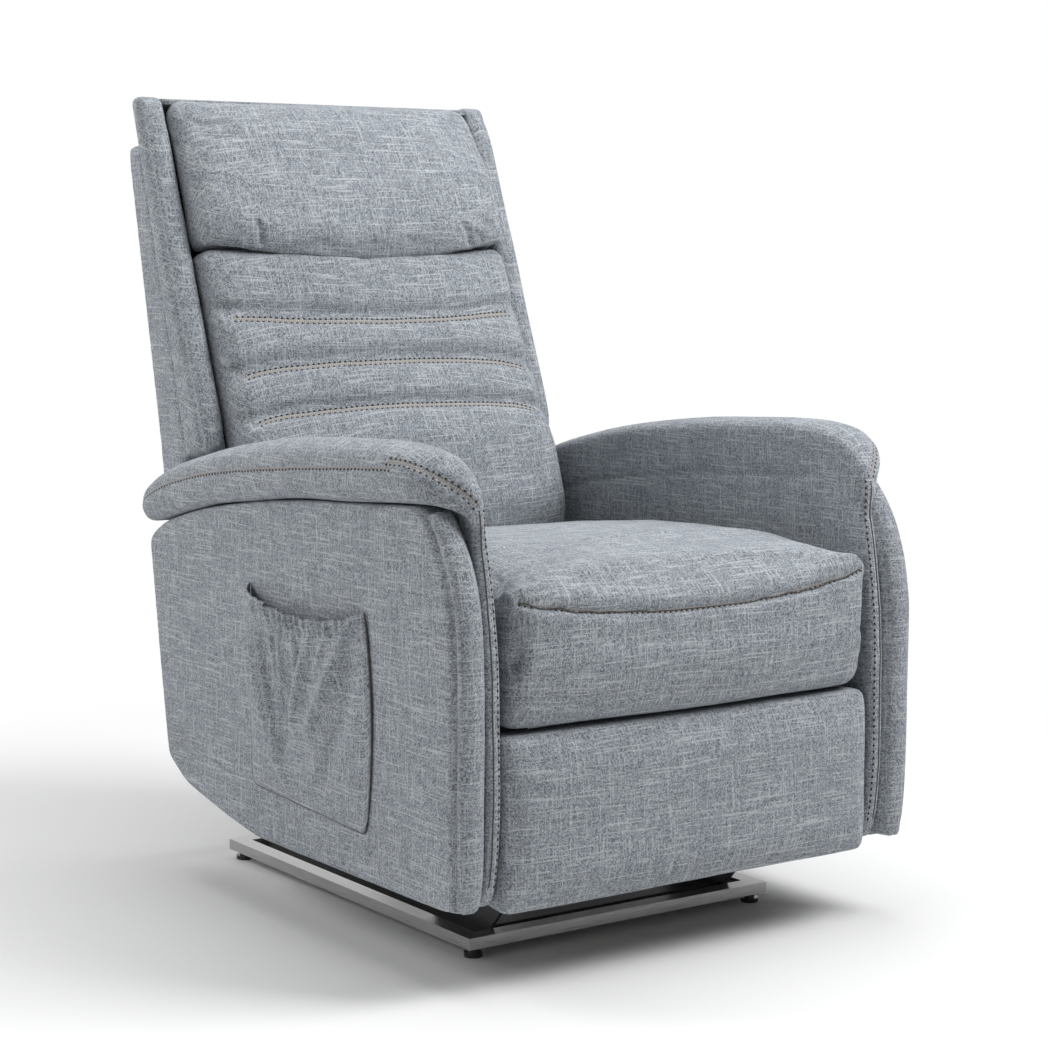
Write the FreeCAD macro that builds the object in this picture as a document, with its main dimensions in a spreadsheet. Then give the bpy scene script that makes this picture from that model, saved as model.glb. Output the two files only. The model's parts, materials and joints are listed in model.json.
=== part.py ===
"""Lift recliner chair, built as separate pieces on a tilting lift base.

Millimetres.  +Z is up, the chair faces -Y and +X is the right-hand side seen from the front.
The origin is on the floor under the middle of the chair's outline.
"""
import FreeCAD, Part
import math
import os
import re
import Sketcher

Vector = FreeCAD.Vector

# --------------------------------------------------------------------------- driving sizes

SIZES = {
    # base frame
    "base_width": 486.0,
    "base_depth": 634.0,
    "base_front": -335.0,
    "rail_wide": 24.0,
    "rail_tall": 15.0,
    "foot_tall": 13.0,
    "foot_radius": 12.0,
    "foot_neck_radius": 7.0,
    "foot_inset": 16.0,
    "cross_bar_wide": 40.0,
    "cross_bar_setback": 12.0,
    "ear_tall": 86.0,
    "ear_root_end": 60.0,
    # planes of the side linkages, measured out from the middle
    "bracket_inset": 29.0,
    "ear_thick": 5.0,
    "link_thick": 6.0,
    "side_plate_thick": 4.0,
    "leg_link_thick": 5.0,
    "plane_gap": 1.0,
    # lift linkage
    "arm_pivot_y": -230.0,
    "arm_pivot_z": 66.0,
    "carry_pivot_y": 215.0,
    "carry_pivot_z": 124.0,
    "arm_half_wide": 12.0,
    "control_base_y": -320.0,
    "control_base_z": 72.0,
    "control_top_y": -90.0,
    "control_top_z": 120.0,
    "control_half_wide": 11.0,
    "pin_radius": 4.0,
    "pin_clearance": 0.05,
    "pin_end": 0.5,
    "open_clearance": 3.4,
    # lift actuator
    "lift_motor_z": 60.0,
    "lift_push_y": -138.0,
    "lift_push_z": 143.0,
    "cross_tube_share": 0.2,
    "cross_tube_radius": 9.0,
    "push_ear_half_wide": 9.0,
    "push_ear_thick": 10.0,
    "actuator_tube_radius": 17.0,
    "actuator_rod_radius": 9.0,
    "actuator_rod_clearance": 0.08,
    "lift_tube_end": 262.0,
    "recline_tube_end": 300.0,
    "rod_bore_depth": 150.0,
    "lift_rod_inside": 148.0,
    "recline_rod_inside": 98.0,
    "motor_long": 92.0,
    "motor_radius": 18.0,
    "motor_rise": 36.0,
    "gear_half_wide": 22.0,
    "gear_half_tall": 19.0,
    "gear_start": 16.0,
    "gear_long": 46.0,
    "lug_half_wide": 7.0,
    "lug_half_tall": 9.0,
    "fork_gap": 14.0,
    "fork_cheek": 5.0,
    "fork_back": 30.0,
    "fork_front": 10.0,
    "fork_half_tall": 9.0,
    "mount_ear_thick": 5.0,
    "mount_ear_gap": 1.0,
    "mount_ear_half_wide": 12.0,
    "recline_tube_setback": 30.0,
    # chair frame
    "plate_bottom": 100.0,
    "seat_rail_bottom": 330.0,
    "seat_rail_tall": 23.0,
    "seat_rail_deep": 30.0,
    "front_rail_y": -405.0,
    "rear_rail_y": 75.0,
    "webbing_thick": 2.5,
    "webbing_wide": 50.0,
    "webbing_pitch": 110.0,
    "seat_gap": 0.3,
    # leg rest linkage
    "leg_pivot_y": -230.0,
    "leg_pivot_z": 300.0,
    "leg_knee_y": -162.0,
    "leg_knee_z": 112.0,
    "leg_guide_dy": -36.0,
    "leg_guide_dz": 17.0,
    "leg_end_y": -400.0,
    "leg_end_z": 225.0,
    "leg_half_wide": 10.0,
    # leg rest
    "leg_board_thick": 12.0,
    "leg_board_front": -428.0,
    "leg_pad_front": -483.0,
    "leg_pad_crown": 9.0,
    "leg_pad_bottom": 97.0,
    "leg_pad_top": 312.0,
    "leg_pad_half": 289.5,
    "leg_board_margin": 14.0,
    # seat
    "seat_half": 282.0,
    "seat_crown": 509.0,
    "seat_front": -500.0,
    "seat_rear": 104.0,
    "nose_bottom": 316.0,
    "seam_height": 458.0,
    # arms
    "arm_inner_half": 293.0,
    "arm_board_thick": 22.0,
    "arm_outer_half": 361.0,
    "arm_bottom": 105.0,
    "arm_top": 588.0,
    "arm_front": -487.0,
    "arm_rear": 311.0,
    "arm_pad_inner": 286.0,
    "arm_pad_outer": 375.0,
    "arm_pad_front": -463.0,
    "arm_pad_rear": 331.0,
    "arm_pad_top": 661.0,
    "arm_pad_bed": 1.0,
    # pocket
    "pocket_front": -288.0,
    "pocket_rear": 8.0,
    "pocket_bottom": 172.0,
    "pocket_top": 446.0,
    "pocket_depth": 15.0,
    "pocket_cloth": 2.5,
    "pocket_sag": 30.0,
    "pocket_fold": 3.0,
    # back
    "recline_y": 190.0,
    "recline_z": 335.0,
    "lever_y": 185.0,
    "lever_z": 245.0,
    "recline_motor_y": -290.0,
    "recline_motor_z": 245.0,
    "back_tilt": 20.4,
    "back_ref_y": 241.0,
    "back_ref_z": 613.0,
    "rear_tilt": 11.9,
    "rear_ref_y": 387.0,
    "rear_ref_z": 565.0,
    "wing_outer": 302.0,
    "wing_inner": 263.0,
    "wing_bottom": 600.0,
    "back_top": 1106.0,
    "cover_half": 290.0,
    "cover_wall": 10.0,
    "cover_bottom": 300.0,
    "cover_crown": 7.0,
    "wing_deep_low": 76.0,
    "wing_deep_high": 44.0,
    "post_wide": 25.0,
    "post_bottom": -232.0,
    "post_top": 455.0,
    "bracket_lap": 120.0,
    "frame_setback": 33.0,
    "mid_rail_height": 28.5,
    "cushion_half": 261.0,
    "cushion_bottom": -186.0,
    "pillow_low": 290.0,
    "pillow_top": 527.0,
    "pillow_puff": 34.0,
    "band_top": 183.0,
    "band_middle": 114.0,
    "band_low": 45.0,
    "band_puff": 9.0,
    # small parts
    "box_long": 100.0,
    "box_deep": 52.0,
    "box_tall": 38.0,
    "inlet_radius": 6.0,
    "inlet_long": 8.0,
}

LEFT = -1
RIGHT = 1
SIDES = ((LEFT, "left"), (RIGHT, "right"))

doc = FreeCAD.newDocument("LiftReclinerChair")
sheet = doc.addObject("Spreadsheet::Sheet", "Sizes")
for row, (alias, value) in enumerate(SIZES.items(), start=1):
    sheet.set(f"A{row}", alias)
    sheet.set(f"B{row}", str(value))
    sheet.setAlias(f"B{row}", alias)
doc.recompute()

pieces = []


def linked(expression):
    """The expression with each size written as the sheet's own cell."""
    def cell(match):
        word = match.group(0)
        return f"Sizes.{word}" if word in SIZES else word
    return re.sub(r"[a-z_][a-z0-9_]*", cell, expression)


def size(expression):
    """The number that an expression of sizes stands for."""
    return float(sheet.evalExpression(linked(expression)))


def bind(item, **properties):
    """Tie properties of a document object to expressions of sizes."""
    for name, expression in properties.items():
        item.setExpression(name, linked(str(expression)))


def place(item, x="0", y="0", z="0"):
    """Tie the base of an object's placement to expressions of sizes."""
    for axis, expression in (("x", x), ("y", y), ("z", z)):
        item.setExpression(f"Placement.Base.{axis}", linked(str(expression)))


def keep(item, label):
    """Name an object as one of the chair's pieces."""
    item.Label = label
    pieces.append(item)
    return item


def mirrored(expression, side, thick="0"):
    """The low X of a slab that lies between expression and expression + thick on one side."""
    return expression if side == RIGHT else f"-({expression}) - ({thick})"


# --------------------------------------------------------------------------- rigid pieces

def block(label, x, y, z, length, width, height):
    """A rectangular bar with its low corner at x, y, z."""
    item = doc.addObject("Part::Box", label)
    bind(item, Length=length, Width=width, Height=height)
    place(item, x, y, z)
    return item


TURNS = {
    "x": FreeCAD.Rotation(Vector(0, 1, 0), 90),
    "y": FreeCAD.Rotation(Vector(1, 0, 0), -90),
    "z": FreeCAD.Rotation(),
}


def rod(label, axis, x, y, z, radius, length):
    """A round bar that starts at x, y, z and runs along +axis."""
    item = doc.addObject("Part::Cylinder", label)
    bind(item, Radius=radius, Height=length)
    item.Placement = FreeCAD.Placement(Vector(), TURNS[axis])
    place(item, x, y, z)
    return item


def joined(label, items):
    """Several solids in one object: touching ones become one solid, others stay apart."""
    item = doc.addObject("Part::MultiFuse", label)
    item.Shapes = items
    item.Refine = True
    return item


def cut(label, base, tool):
    """One solid less another."""
    item = doc.addObject("Part::Cut", label)
    item.Base = base
    item.Tool = tool
    return item


def body_plane(body, role):
    """The origin plane of a body that has the role."""
    return next(o for o in body.Origin.OriginFeatures if o.Role == role)


def sketch_on(body, role, name):
    """An empty sketch on one of the body's own origin planes."""
    sketch = body.newObject("Sketcher::SketchObject", name)
    sketch.AttachmentSupport = [(body_plane(body, role), "")]
    sketch.MapMode = "FlatFace"
    return sketch


def fix_point(sketch, geometry, point, across, up):
    """Hold a sketch point at two signed distances from the sketch's origin."""
    for kind, expression in (("DistanceX", across), ("DistanceY", up)):
        constraint = Sketcher.Constraint(kind, -1, 1, geometry, point, size(expression))
        index = sketch.addConstraint(constraint)
        sketch.setExpression(f"Constraints[{index}]", linked(expression))


def draw_outline(sketch, outline):
    """A closed outline of straight lines, each corner held at its own two sizes."""
    corners = [Vector(size(across), size(up), 0) for across, up in outline]
    count = len(corners)
    for index in range(count):
        line = Part.LineSegment(corners[index], corners[(index + 1) % count])
        sketch.addGeometry(line, False)
    for index in range(count):
        following = (index + 1) % count
        sketch.addConstraint(Sketcher.Constraint("Coincident", index, 2, following, 1))
    for index, (across, up) in enumerate(outline):
        fix_point(sketch, index, 1, across, up)


def draw_hole(sketch, across, up, radius):
    """A round hole in a sketch."""
    circle = Part.Circle(Vector(size(across), size(up), 0), Vector(0, 0, 1), size(radius))
    index = sketch.addGeometry(circle, False)
    fix_point(sketch, index, 3, across, up)
    held = sketch.addConstraint(Sketcher.Constraint("Radius", index, size(radius)))
    sketch.setExpression(f"Constraints[{held}]", linked(radius))


def draw_bar(sketch, start, end, half_wide):
    """A bar with round ends about two points: two half circles and two tangent lines."""
    first = Vector(size(start[0]), size(start[1]), 0)
    last = Vector(size(end[0]), size(end[1]), 0)
    radius = size(half_wide)
    along = (last - first).normalize()
    beside = Vector(-along.y, along.x, 0) * radius
    turn = math.atan2(along.y, along.x)
    quarter = math.pi / 2
    normal = Vector(0, 0, 1)
    head = Part.ArcOfCircle(Part.Circle(first, normal, radius), turn + quarter, turn + 3 * quarter)
    tail = Part.ArcOfCircle(Part.Circle(last, normal, radius), turn - quarter, turn + quarter)
    sketch.addGeometry(head, False)
    sketch.addGeometry(Part.LineSegment(first - beside, last - beside), False)
    sketch.addGeometry(tail, False)
    sketch.addGeometry(Part.LineSegment(last + beside, first + beside), False)
    for one, one_end, other, other_end in ((0, 2, 1, 1), (1, 2, 2, 1), (2, 2, 3, 1), (3, 2, 0, 1)):
        sketch.addConstraint(Sketcher.Constraint("Tangent", one, one_end, other, other_end))
    sketch.addConstraint(Sketcher.Constraint("Equal", 0, 2))
    fix_point(sketch, 0, 3, *start)
    fix_point(sketch, 2, 3, *end)
    held = sketch.addConstraint(Sketcher.Constraint("Radius", 0, radius))
    sketch.setExpression(f"Constraints[{held}]", linked(half_wide))


def pad(body, sketch, thick):
    """Give a sketch its thickness."""
    feature = body.newObject("PartDesign::Pad", f"{body.Name}_pad")
    feature.Profile = sketch
    bind(feature, Length=thick)
    return feature


def side_plate(label, x, thick, outline, holes=()):
    """A plate in a plane of constant X; outline and holes are in Y and Z."""
    body = doc.addObject("PartDesign::Body", label)
    sketch = sketch_on(body, "YZ_Plane", f"{label}_outline")
    draw_outline(sketch, outline)
    for hole in holes:
        draw_hole(sketch, *hole)
    pad(body, sketch, thick)
    place(body, x=x)
    return body


def link_bar(label, x, thick, start, end, half_wide, holes):
    """A flat link with round ends, in a plane of constant X."""
    body = doc.addObject("PartDesign::Body", label)
    sketch = sketch_on(body, "YZ_Plane", f"{label}_outline")
    draw_bar(sketch, start, end, half_wide)
    for hole in holes:
        draw_hole(sketch, *hole)
    pad(body, sketch, thick)
    place(body, x=x)
    return body


def floor_plate(label, z, thick, outline):
    """A plate in a plane of constant Z; the outline is in X and Y."""
    body = doc.addObject("PartDesign::Body", label)
    sketch = sketch_on(body, "XY_Plane", f"{label}_outline")
    draw_outline(sketch, outline)
    pad(body, sketch, thick)
    place(body, z=z)
    return body


# --------------------------------------------------------------------------- formed pieces

def rounded_wire(corners, place_point):
    """A closed wire of lines and tangent arcs.

    corners are (across, up, radius); place_point turns across and up into a point in space.
    """
    flat = [(Vector(a, b, 0), r) for a, b, r in corners]
    count = len(flat)
    spans = []
    for index in range(count):
        before = flat[index - 1][0]
        corner, radius = flat[index]
        after = flat[(index + 1) % count][0]
        to_before = (before - corner).normalize()
        to_after = (after - corner).normalize()
        half = to_before.getAngle(to_after) / 2
        reach = radius / math.tan(half)
        room = 0.49 * min((before - corner).Length, (after - corner).Length)
        reach = min(reach, room)
        radius = reach * math.tan(half)
        middle = (to_before + to_after).normalize() * (radius / math.sin(half) - radius)
        spans.append((corner + to_before * reach, corner + middle, corner + to_after * reach))
    edges = []
    for index in range(count):
        start, middle, end = (place_point(p.x, p.y) for p in spans[index])
        edges.append(Part.Arc(start, middle, end).toShape())
        following = place_point(spans[(index + 1) % count][0].x, spans[(index + 1) % count][0].y)
        edges.append(Part.LineSegment(end, following).toShape())
    return Part.Wire(edges)


def at_x(x):
    """Points of a section that lies at one X: across is Y, up is Z."""
    return lambda across, up: Vector(x, across, up)


def at_y(y):
    """Points of a section that lies at one Y: across is X, up is Z."""
    return lambda across, up: Vector(across, y, up)


def at_z(z):
    """Points of a section that lies at one Z: across is X, up is Y."""
    return lambda across, up: Vector(across, up, z)


def lofted(wires, straight=False):
    """A closed solid through sections."""
    shape = Part.makeLoft(wires, True, straight)
    if shape.Volume < 0:
        shape.reverse()
    return shape


def soft_sections(end, middle=1.0):
    """(share, draw) of sections across a cushion: share runs -1 to 1, draw is end to middle."""
    rise = middle - end
    half = ((1.0, 0.0), (0.985, 0.42), (0.95, 0.72), (0.88, 0.90), (0.72, 0.98), (0.4, 1.0))
    low = [(-share, end + rise * part) for share, part in half]
    high = [(share, draw) for share, draw in ((-a, b) for a, b in reversed(low))]
    return [*low, (0.0, middle), *high]


def formed(label, shape):
    """A piece whose shape is worked out here from the sheet's sizes."""
    item = doc.addObject("Part::Feature", label)
    item.Shape = shape
    return keep(item, label)


def flipped(shape):
    """The same shape on the other side of the chair."""
    return shape.mirror(Vector(), Vector(1, 0, 0))


def between(low, high, share):
    """The value at a share of the way from low to high."""
    return low + (high - low) * share


def shrunk(corners, core, across, up):
    """Corners drawn towards a core point by two factors."""
    return [(core[0] + (a - core[0]) * across, core[1] + (b - core[1]) * up, r)
            for a, b, r in corners]


def inset(corners, distance):
    """Corners of an outline moved inwards by a distance, whichever way round it runs."""
    moved = []
    count = len(corners)
    turning = sum(corners[index - 1][0] * corners[index][1]
                  - corners[index][0] * corners[index - 1][1] for index in range(count))
    if turning < 0:
        distance = -distance
    for index in range(count):
        before = Vector(*corners[index - 1][:2], 0)
        here = Vector(*corners[index][:2], 0)
        after = Vector(*corners[(index + 1) % count][:2], 0)
        first = (here - before).normalize()
        second = (after - here).normalize()
        normal = Vector(-first.y - second.y, first.x + second.x, 0).normalize()
        stretch = distance / max(0.5, normal.dot(Vector(-first.y, first.x, 0)))
        point = here + normal * stretch
        moved.append((point.x, point.y, corners[index][2]))
    return moved


# --------------------------------------------------------------------------- side planes

EAR_X = "base_width / 2 - rail_wide - bracket_inset"
LINK_X = f"{EAR_X} + ear_thick + plane_gap"
PLATE_X = f"{LINK_X} + link_thick + plane_gap"
LEG_X = f"{PLATE_X} + side_plate_thick + plane_gap"
COUPLER_X = f"{LEG_X} + leg_link_thick + plane_gap"
BRACKET_X = f"{COUPLER_X} + leg_link_thick + plane_gap"
HOLE = "pin_radius + pin_clearance"
RAIL_TOP = "foot_tall + rail_tall"
SEAT_RAIL_TOP = "seat_rail_bottom + seat_rail_tall"

ARM_PIVOT = ("arm_pivot_y", "arm_pivot_z")
CARRY_PIVOT = ("carry_pivot_y", "carry_pivot_z")
LIFT_MOTOR = ("base_front + base_depth - rail_wide - cross_bar_wide / 2", "lift_motor_z")
CONTROL_BASE = ("control_base_y", "control_base_z")
CONTROL_TOP = ("control_top_y", "control_top_z")
LEG_PIVOT = ("leg_pivot_y", "leg_pivot_z")
LEG_KNEE = ("leg_knee_y", "leg_knee_z")
LEG_END = ("leg_end_y", "leg_end_z")
GUIDE_PIVOT = ("leg_pivot_y + leg_guide_dy", "leg_pivot_z + leg_guide_dz")
GUIDE_KNEE = ("leg_knee_y + leg_guide_dy", "leg_knee_z + leg_guide_dz")
RECLINE = ("recline_y", "recline_z")
LEVER = ("lever_y", "lever_z")


def pins(label, places):
    """Round pins along X: each place is a pivot, its low X on the right and its length."""
    parts = []
    for side, name in SIDES:
        for index, (pivot, x, length) in enumerate(places):
            low = mirrored(x, side, length)
            parts.append(rod(f"{label}_{name}_{index}", "x", low, *pivot, "pin_radius", length))
    return keep(joined(label, parts), label)


# --------------------------------------------------------------------------- base frame

def base_rails():
    """Four bright bars with mitred corners."""
    left = "-base_width / 2"
    right = "base_width / 2"
    front = "base_front"
    rear = "base_front + base_depth"
    inner_left = f"{left} + rail_wide"
    inner_right = f"{right} - rail_wide"
    inner_front = f"{front} + rail_wide"
    inner_rear = f"{rear} - rail_wide"
    outlines = {
        "base_rail_left": ((left, front), (inner_left, inner_front),
                           (inner_left, inner_rear), (left, rear)),
        "base_rail_right": ((right, front), (right, rear),
                            (inner_right, inner_rear), (inner_right, inner_front)),
        "base_rail_front": ((left, front), (right, front),
                            (inner_right, inner_front), (inner_left, inner_front)),
        "base_rail_rear": ((left, rear), (inner_left, inner_rear),
                           (inner_right, inner_rear), (right, rear)),
    }
    for label, outline in outlines.items():
        keep(floor_plate(label, "foot_tall", "rail_tall", outline), label)


def feet():
    """Four round feet: a neck under the rail and a wider sole."""
    sole = "foot_tall * 0.45"
    parts = []
    for side, name in SIDES:
        for end, y in (("front", "base_front + foot_inset"),
                       ("rear", "base_front + base_depth - foot_inset")):
            x = mirrored("base_width / 2 - foot_inset", side)
            label = f"foot_{end}_{name}"
            parts.append(rod(f"{label}_sole", "z", x, y, "0", "foot_radius", sole))
            parts.append(rod(f"{label}_neck", "z", x, y, sole, "foot_neck_radius",
                             f"foot_tall - {sole}"))
    keep(joined("feet", parts), "feet")


def pivot_brackets():
    """Upright side plates inside the rails, each with the two lift pivots at its front."""
    front = "base_front + rail_wide"
    rear = "base_front + base_depth - rail_wide"
    overhang = "control_base_y - ear_root_end / 4"
    for side, name in SIDES:
        outline = (
            (front, "foot_tall"),
            (rear, "foot_tall"),
            (rear, RAIL_TOP),
            ("arm_pivot_y + ear_root_end", RAIL_TOP),
            ("arm_pivot_y + ear_root_end / 3", "ear_tall"),
            (overhang, "ear_tall"),
            (overhang, "ear_tall - ear_root_end / 2"),
            (front, RAIL_TOP + " + plane_gap"),
        )
        holes = ((*ARM_PIVOT, "pin_radius"), (*CONTROL_BASE, "pin_radius"))
        label = f"pivot_bracket_{name}"
        x = mirrored(EAR_X, side, "ear_thick")
        keep(side_plate(label, x, "ear_thick", outline, holes), label)
    past = "ear_thick + plane_gap + link_thick + pin_end"
    pins("base_pivot_pins", ((ARM_PIVOT, EAR_X, past), (CONTROL_BASE, EAR_X, past)))


def cross_bars():
    """Flat bars across the base, the rear one with two ears for the lift actuator."""
    width = f"2 * ({EAR_X})"
    front = "base_front + rail_wide + cross_bar_setback"
    bar = block("cross_bar_front", f"-({EAR_X})", front, "foot_tall",
                width, "cross_bar_wide", "rail_tall")
    keep(bar, "cross_bar_front")
    motor_y, motor_z = LIFT_MOTOR
    rear = block("cross_bar_rear", f"-({EAR_X})", f"{motor_y} - cross_bar_wide / 2", "foot_tall",
                 width, "cross_bar_wide", "rail_tall")
    keep(rear, "cross_bar_rear")
    outline = (
        (f"{motor_y} - mount_ear_half_wide", RAIL_TOP),
        (f"{motor_y} + mount_ear_half_wide", RAIL_TOP),
        (f"{motor_y} + mount_ear_half_wide", f"{motor_z} + mount_ear_half_wide"),
        (f"{motor_y} - mount_ear_half_wide", f"{motor_z} + mount_ear_half_wide"),
    )
    hole = ((*LIFT_MOTOR, "pin_radius"),)
    reach = "lug_half_wide + mount_ear_gap"
    ears = [side_plate(f"motor_ear_{name}", mirrored(reach, side, "mount_ear_thick"),
                       "mount_ear_thick", outline, hole) for side, name in SIDES]
    span = f"{reach} + mount_ear_thick"
    pin = rod("lift_motor_pin", "x", f"-({span})", *LIFT_MOTOR, "pin_radius", f"2 * ({span})")
    keep(joined("lift_motor_mount", ears + [pin]), "lift_motor_mount")


# --------------------------------------------------------------------------- lift linkage

def lift_arms():
    """Two long links from the base's front to the chair's rear, and the tube between them."""
    for side, name in SIDES:
        label = f"lift_arm_{name}"
        holes = ((*ARM_PIVOT, HOLE), (*CARRY_PIVOT, HOLE))
        x = mirrored(LINK_X, side, "link_thick")
        keep(link_bar(label, x, "link_thick", ARM_PIVOT, CARRY_PIVOT, "arm_half_wide", holes), label)
    tube_y = "arm_pivot_y + (carry_pivot_y - arm_pivot_y) * cross_tube_share"
    tube_z = "arm_pivot_z + (carry_pivot_z - arm_pivot_z) * cross_tube_share"
    tube = rod("lift_cross_round", "x", f"-({LINK_X})", tube_y, tube_z,
               "cross_tube_radius", f"2 * ({LINK_X})")
    push = ("lift_push_y", "lift_push_z")
    ear = link_bar("lift_push_ear", "-push_ear_thick / 2", "push_ear_thick",
                   (tube_y, tube_z), push, "push_ear_half_wide",
                   (("lift_push_y", "lift_push_z", HOLE),))
    keep(joined("lift_cross_tube", [tube, ear]), "lift_cross_tube")


def control_links():
    """Short links that hold the chair's tilt while it rises."""
    holes = ((*CONTROL_BASE, HOLE), (*CONTROL_TOP, "pin_radius + open_clearance"))
    links = [link_bar(f"control_link_{name}", mirrored(LINK_X, side, "link_thick"), "link_thick",
                      CONTROL_BASE, CONTROL_TOP, "control_half_wide", holes)
             for side, name in SIDES]
    keep(joined("control_links", links), "control_links")


def actuator(name, start, end):
    """A linear actuator between two pivots: motor and gearbox, outer tube, and rod with fork."""
    tube_end = f"{name}_tube_end"
    first = Vector(0, size(start[0]), size(start[1]))
    last = Vector(0, size(end[0]), size(end[1]))
    turn = FreeCAD.Rotation(Vector(0, 0, 1), last - first)
    upwards = turn.inverted().multVec(Vector(0, 0, 1))
    rise = "motor_rise" if upwards.y > 0 else "-motor_rise"
    length = f"sqrt(({end[0]} - ({start[0]}))^2 + ({end[1]} - ({start[1]}))^2)"

    def put(item, x, across, begin):
        """Place an item at x, across and begin in the actuator's own axes."""
        offset = turn.multVec(Vector(size(x), size(across), size(begin)))
        item.Placement = FreeCAD.Placement(first + offset, turn)
        return item

    def bar(part, half_x, half_y, begin, finish, middle="0"):
        """A square bar along the actuator's axis."""
        item = doc.addObject("Part::Box", f"{name}_{part}")
        bind(item, Length=f"2 * ({half_x})", Width=f"2 * ({half_y})",
             Height=f"({finish}) - ({begin})")
        return put(item, f"{middle} - ({half_x})", f"-({half_y})", begin)

    def tube(part, radius, begin, finish, across="0"):
        """A round bar along the actuator's axis."""
        item = doc.addObject("Part::Cylinder", f"{name}_{part}")
        bind(item, Radius=radius, Height=f"({finish}) - ({begin})")
        return put(item, "0", across, begin)

    gear_end = "gear_start + gear_long"
    lug = bar("lug", "lug_half_wide", "lug_half_tall", "-lug_half_tall", "gear_start")
    gear = bar("gear", "gear_half_wide", "gear_half_tall", "gear_start", gear_end)
    can = tube("can", "motor_radius", "gear_start", "gear_start + motor_long", rise)
    solid = joined(f"{name}_motor_solid", [lug, gear, can])
    hole = rod(f"{name}_motor_hole", "x", "-2 * lug_half_wide", *start, HOLE, "4 * lug_half_wide")
    keep(cut(f"{name}_motor_drilled", solid, hole), f"{name}_motor")

    bore_start = f"{tube_end} - rod_bore_depth"
    outer = tube("tube_outer", "actuator_tube_radius", gear_end, tube_end)
    bore = tube("tube_bore", "actuator_rod_radius + actuator_rod_clearance",
                bore_start, f"{tube_end} + plane_gap")
    keep(cut(f"{name}_tube_bored", outer, bore), f"{name}_tube")

    fork_start = f"{length} - fork_back"
    fork_end = f"{length} + fork_front"
    yoke_end = f"{fork_start} + fork_cheek"
    half_fork = "fork_gap / 2 + fork_cheek"
    shaft = tube("shaft", "actuator_rod_radius", f"{tube_end} - {name}_rod_inside", fork_start)
    yoke = bar("yoke", half_fork, "fork_half_tall", fork_start, yoke_end)
    cheeks = [bar(f"cheek_{side}", "fork_cheek / 2", "fork_half_tall", yoke_end, fork_end,
                  f"{sign} * (fork_gap + fork_cheek) / 2") for sign, side in SIDES]
    keep(joined(f"{name}_rod_forked", [shaft, yoke] + cheeks), f"{name}_rod")


# --------------------------------------------------------------------------- chair frame

def chair_side_plates():
    """The steel plates that carry every chair pivot, under the seat rails."""
    top = "seat_rail_bottom"
    outline = (
        ("front_rail_y", top),
        ("front_rail_y", "leg_pivot_z - 2 * leg_half_wide"),
        ("recline_motor_y - 2 * recline_tube_setback", "recline_motor_z - leg_half_wide * 2"),
        ("leg_knee_y", "plate_bottom"),
        ("carry_pivot_y + 2 * leg_half_wide", "plate_bottom"),
        ("carry_pivot_y + 2 * leg_half_wide", "carry_pivot_z + 2 * leg_half_wide"),
        ("recline_y + 2.5 * leg_half_wide", "recline_z + leg_half_wide"),
        ("recline_y + leg_half_wide", "recline_z + 2.5 * leg_half_wide"),
        ("recline_y - leg_half_wide", "recline_z + 2.5 * leg_half_wide"),
        ("recline_y - 4 * leg_half_wide", top),
    )
    holes = tuple((*pivot, "pin_radius") for pivot in
                  (LEG_PIVOT, GUIDE_PIVOT, CARRY_PIVOT, CONTROL_TOP, RECLINE))
    for side, name in SIDES:
        label = f"chair_side_plate_{name}"
        x = mirrored(PLATE_X, side, "side_plate_thick")
        keep(side_plate(label, x, "side_plate_thick", outline, holes), label)
    inward = "link_thick + plane_gap + side_plate_thick"
    outward = "side_plate_thick + plane_gap + leg_link_thick + pin_end"
    pins("chair_pivot_pins", (
        (CARRY_PIVOT, LINK_X, inward),
        (CONTROL_TOP, LINK_X, inward),
        (RECLINE, LINK_X, inward),
        (LEG_PIVOT, PLATE_X, outward),
        (GUIDE_PIVOT, PLATE_X, outward),
    ))


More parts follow.
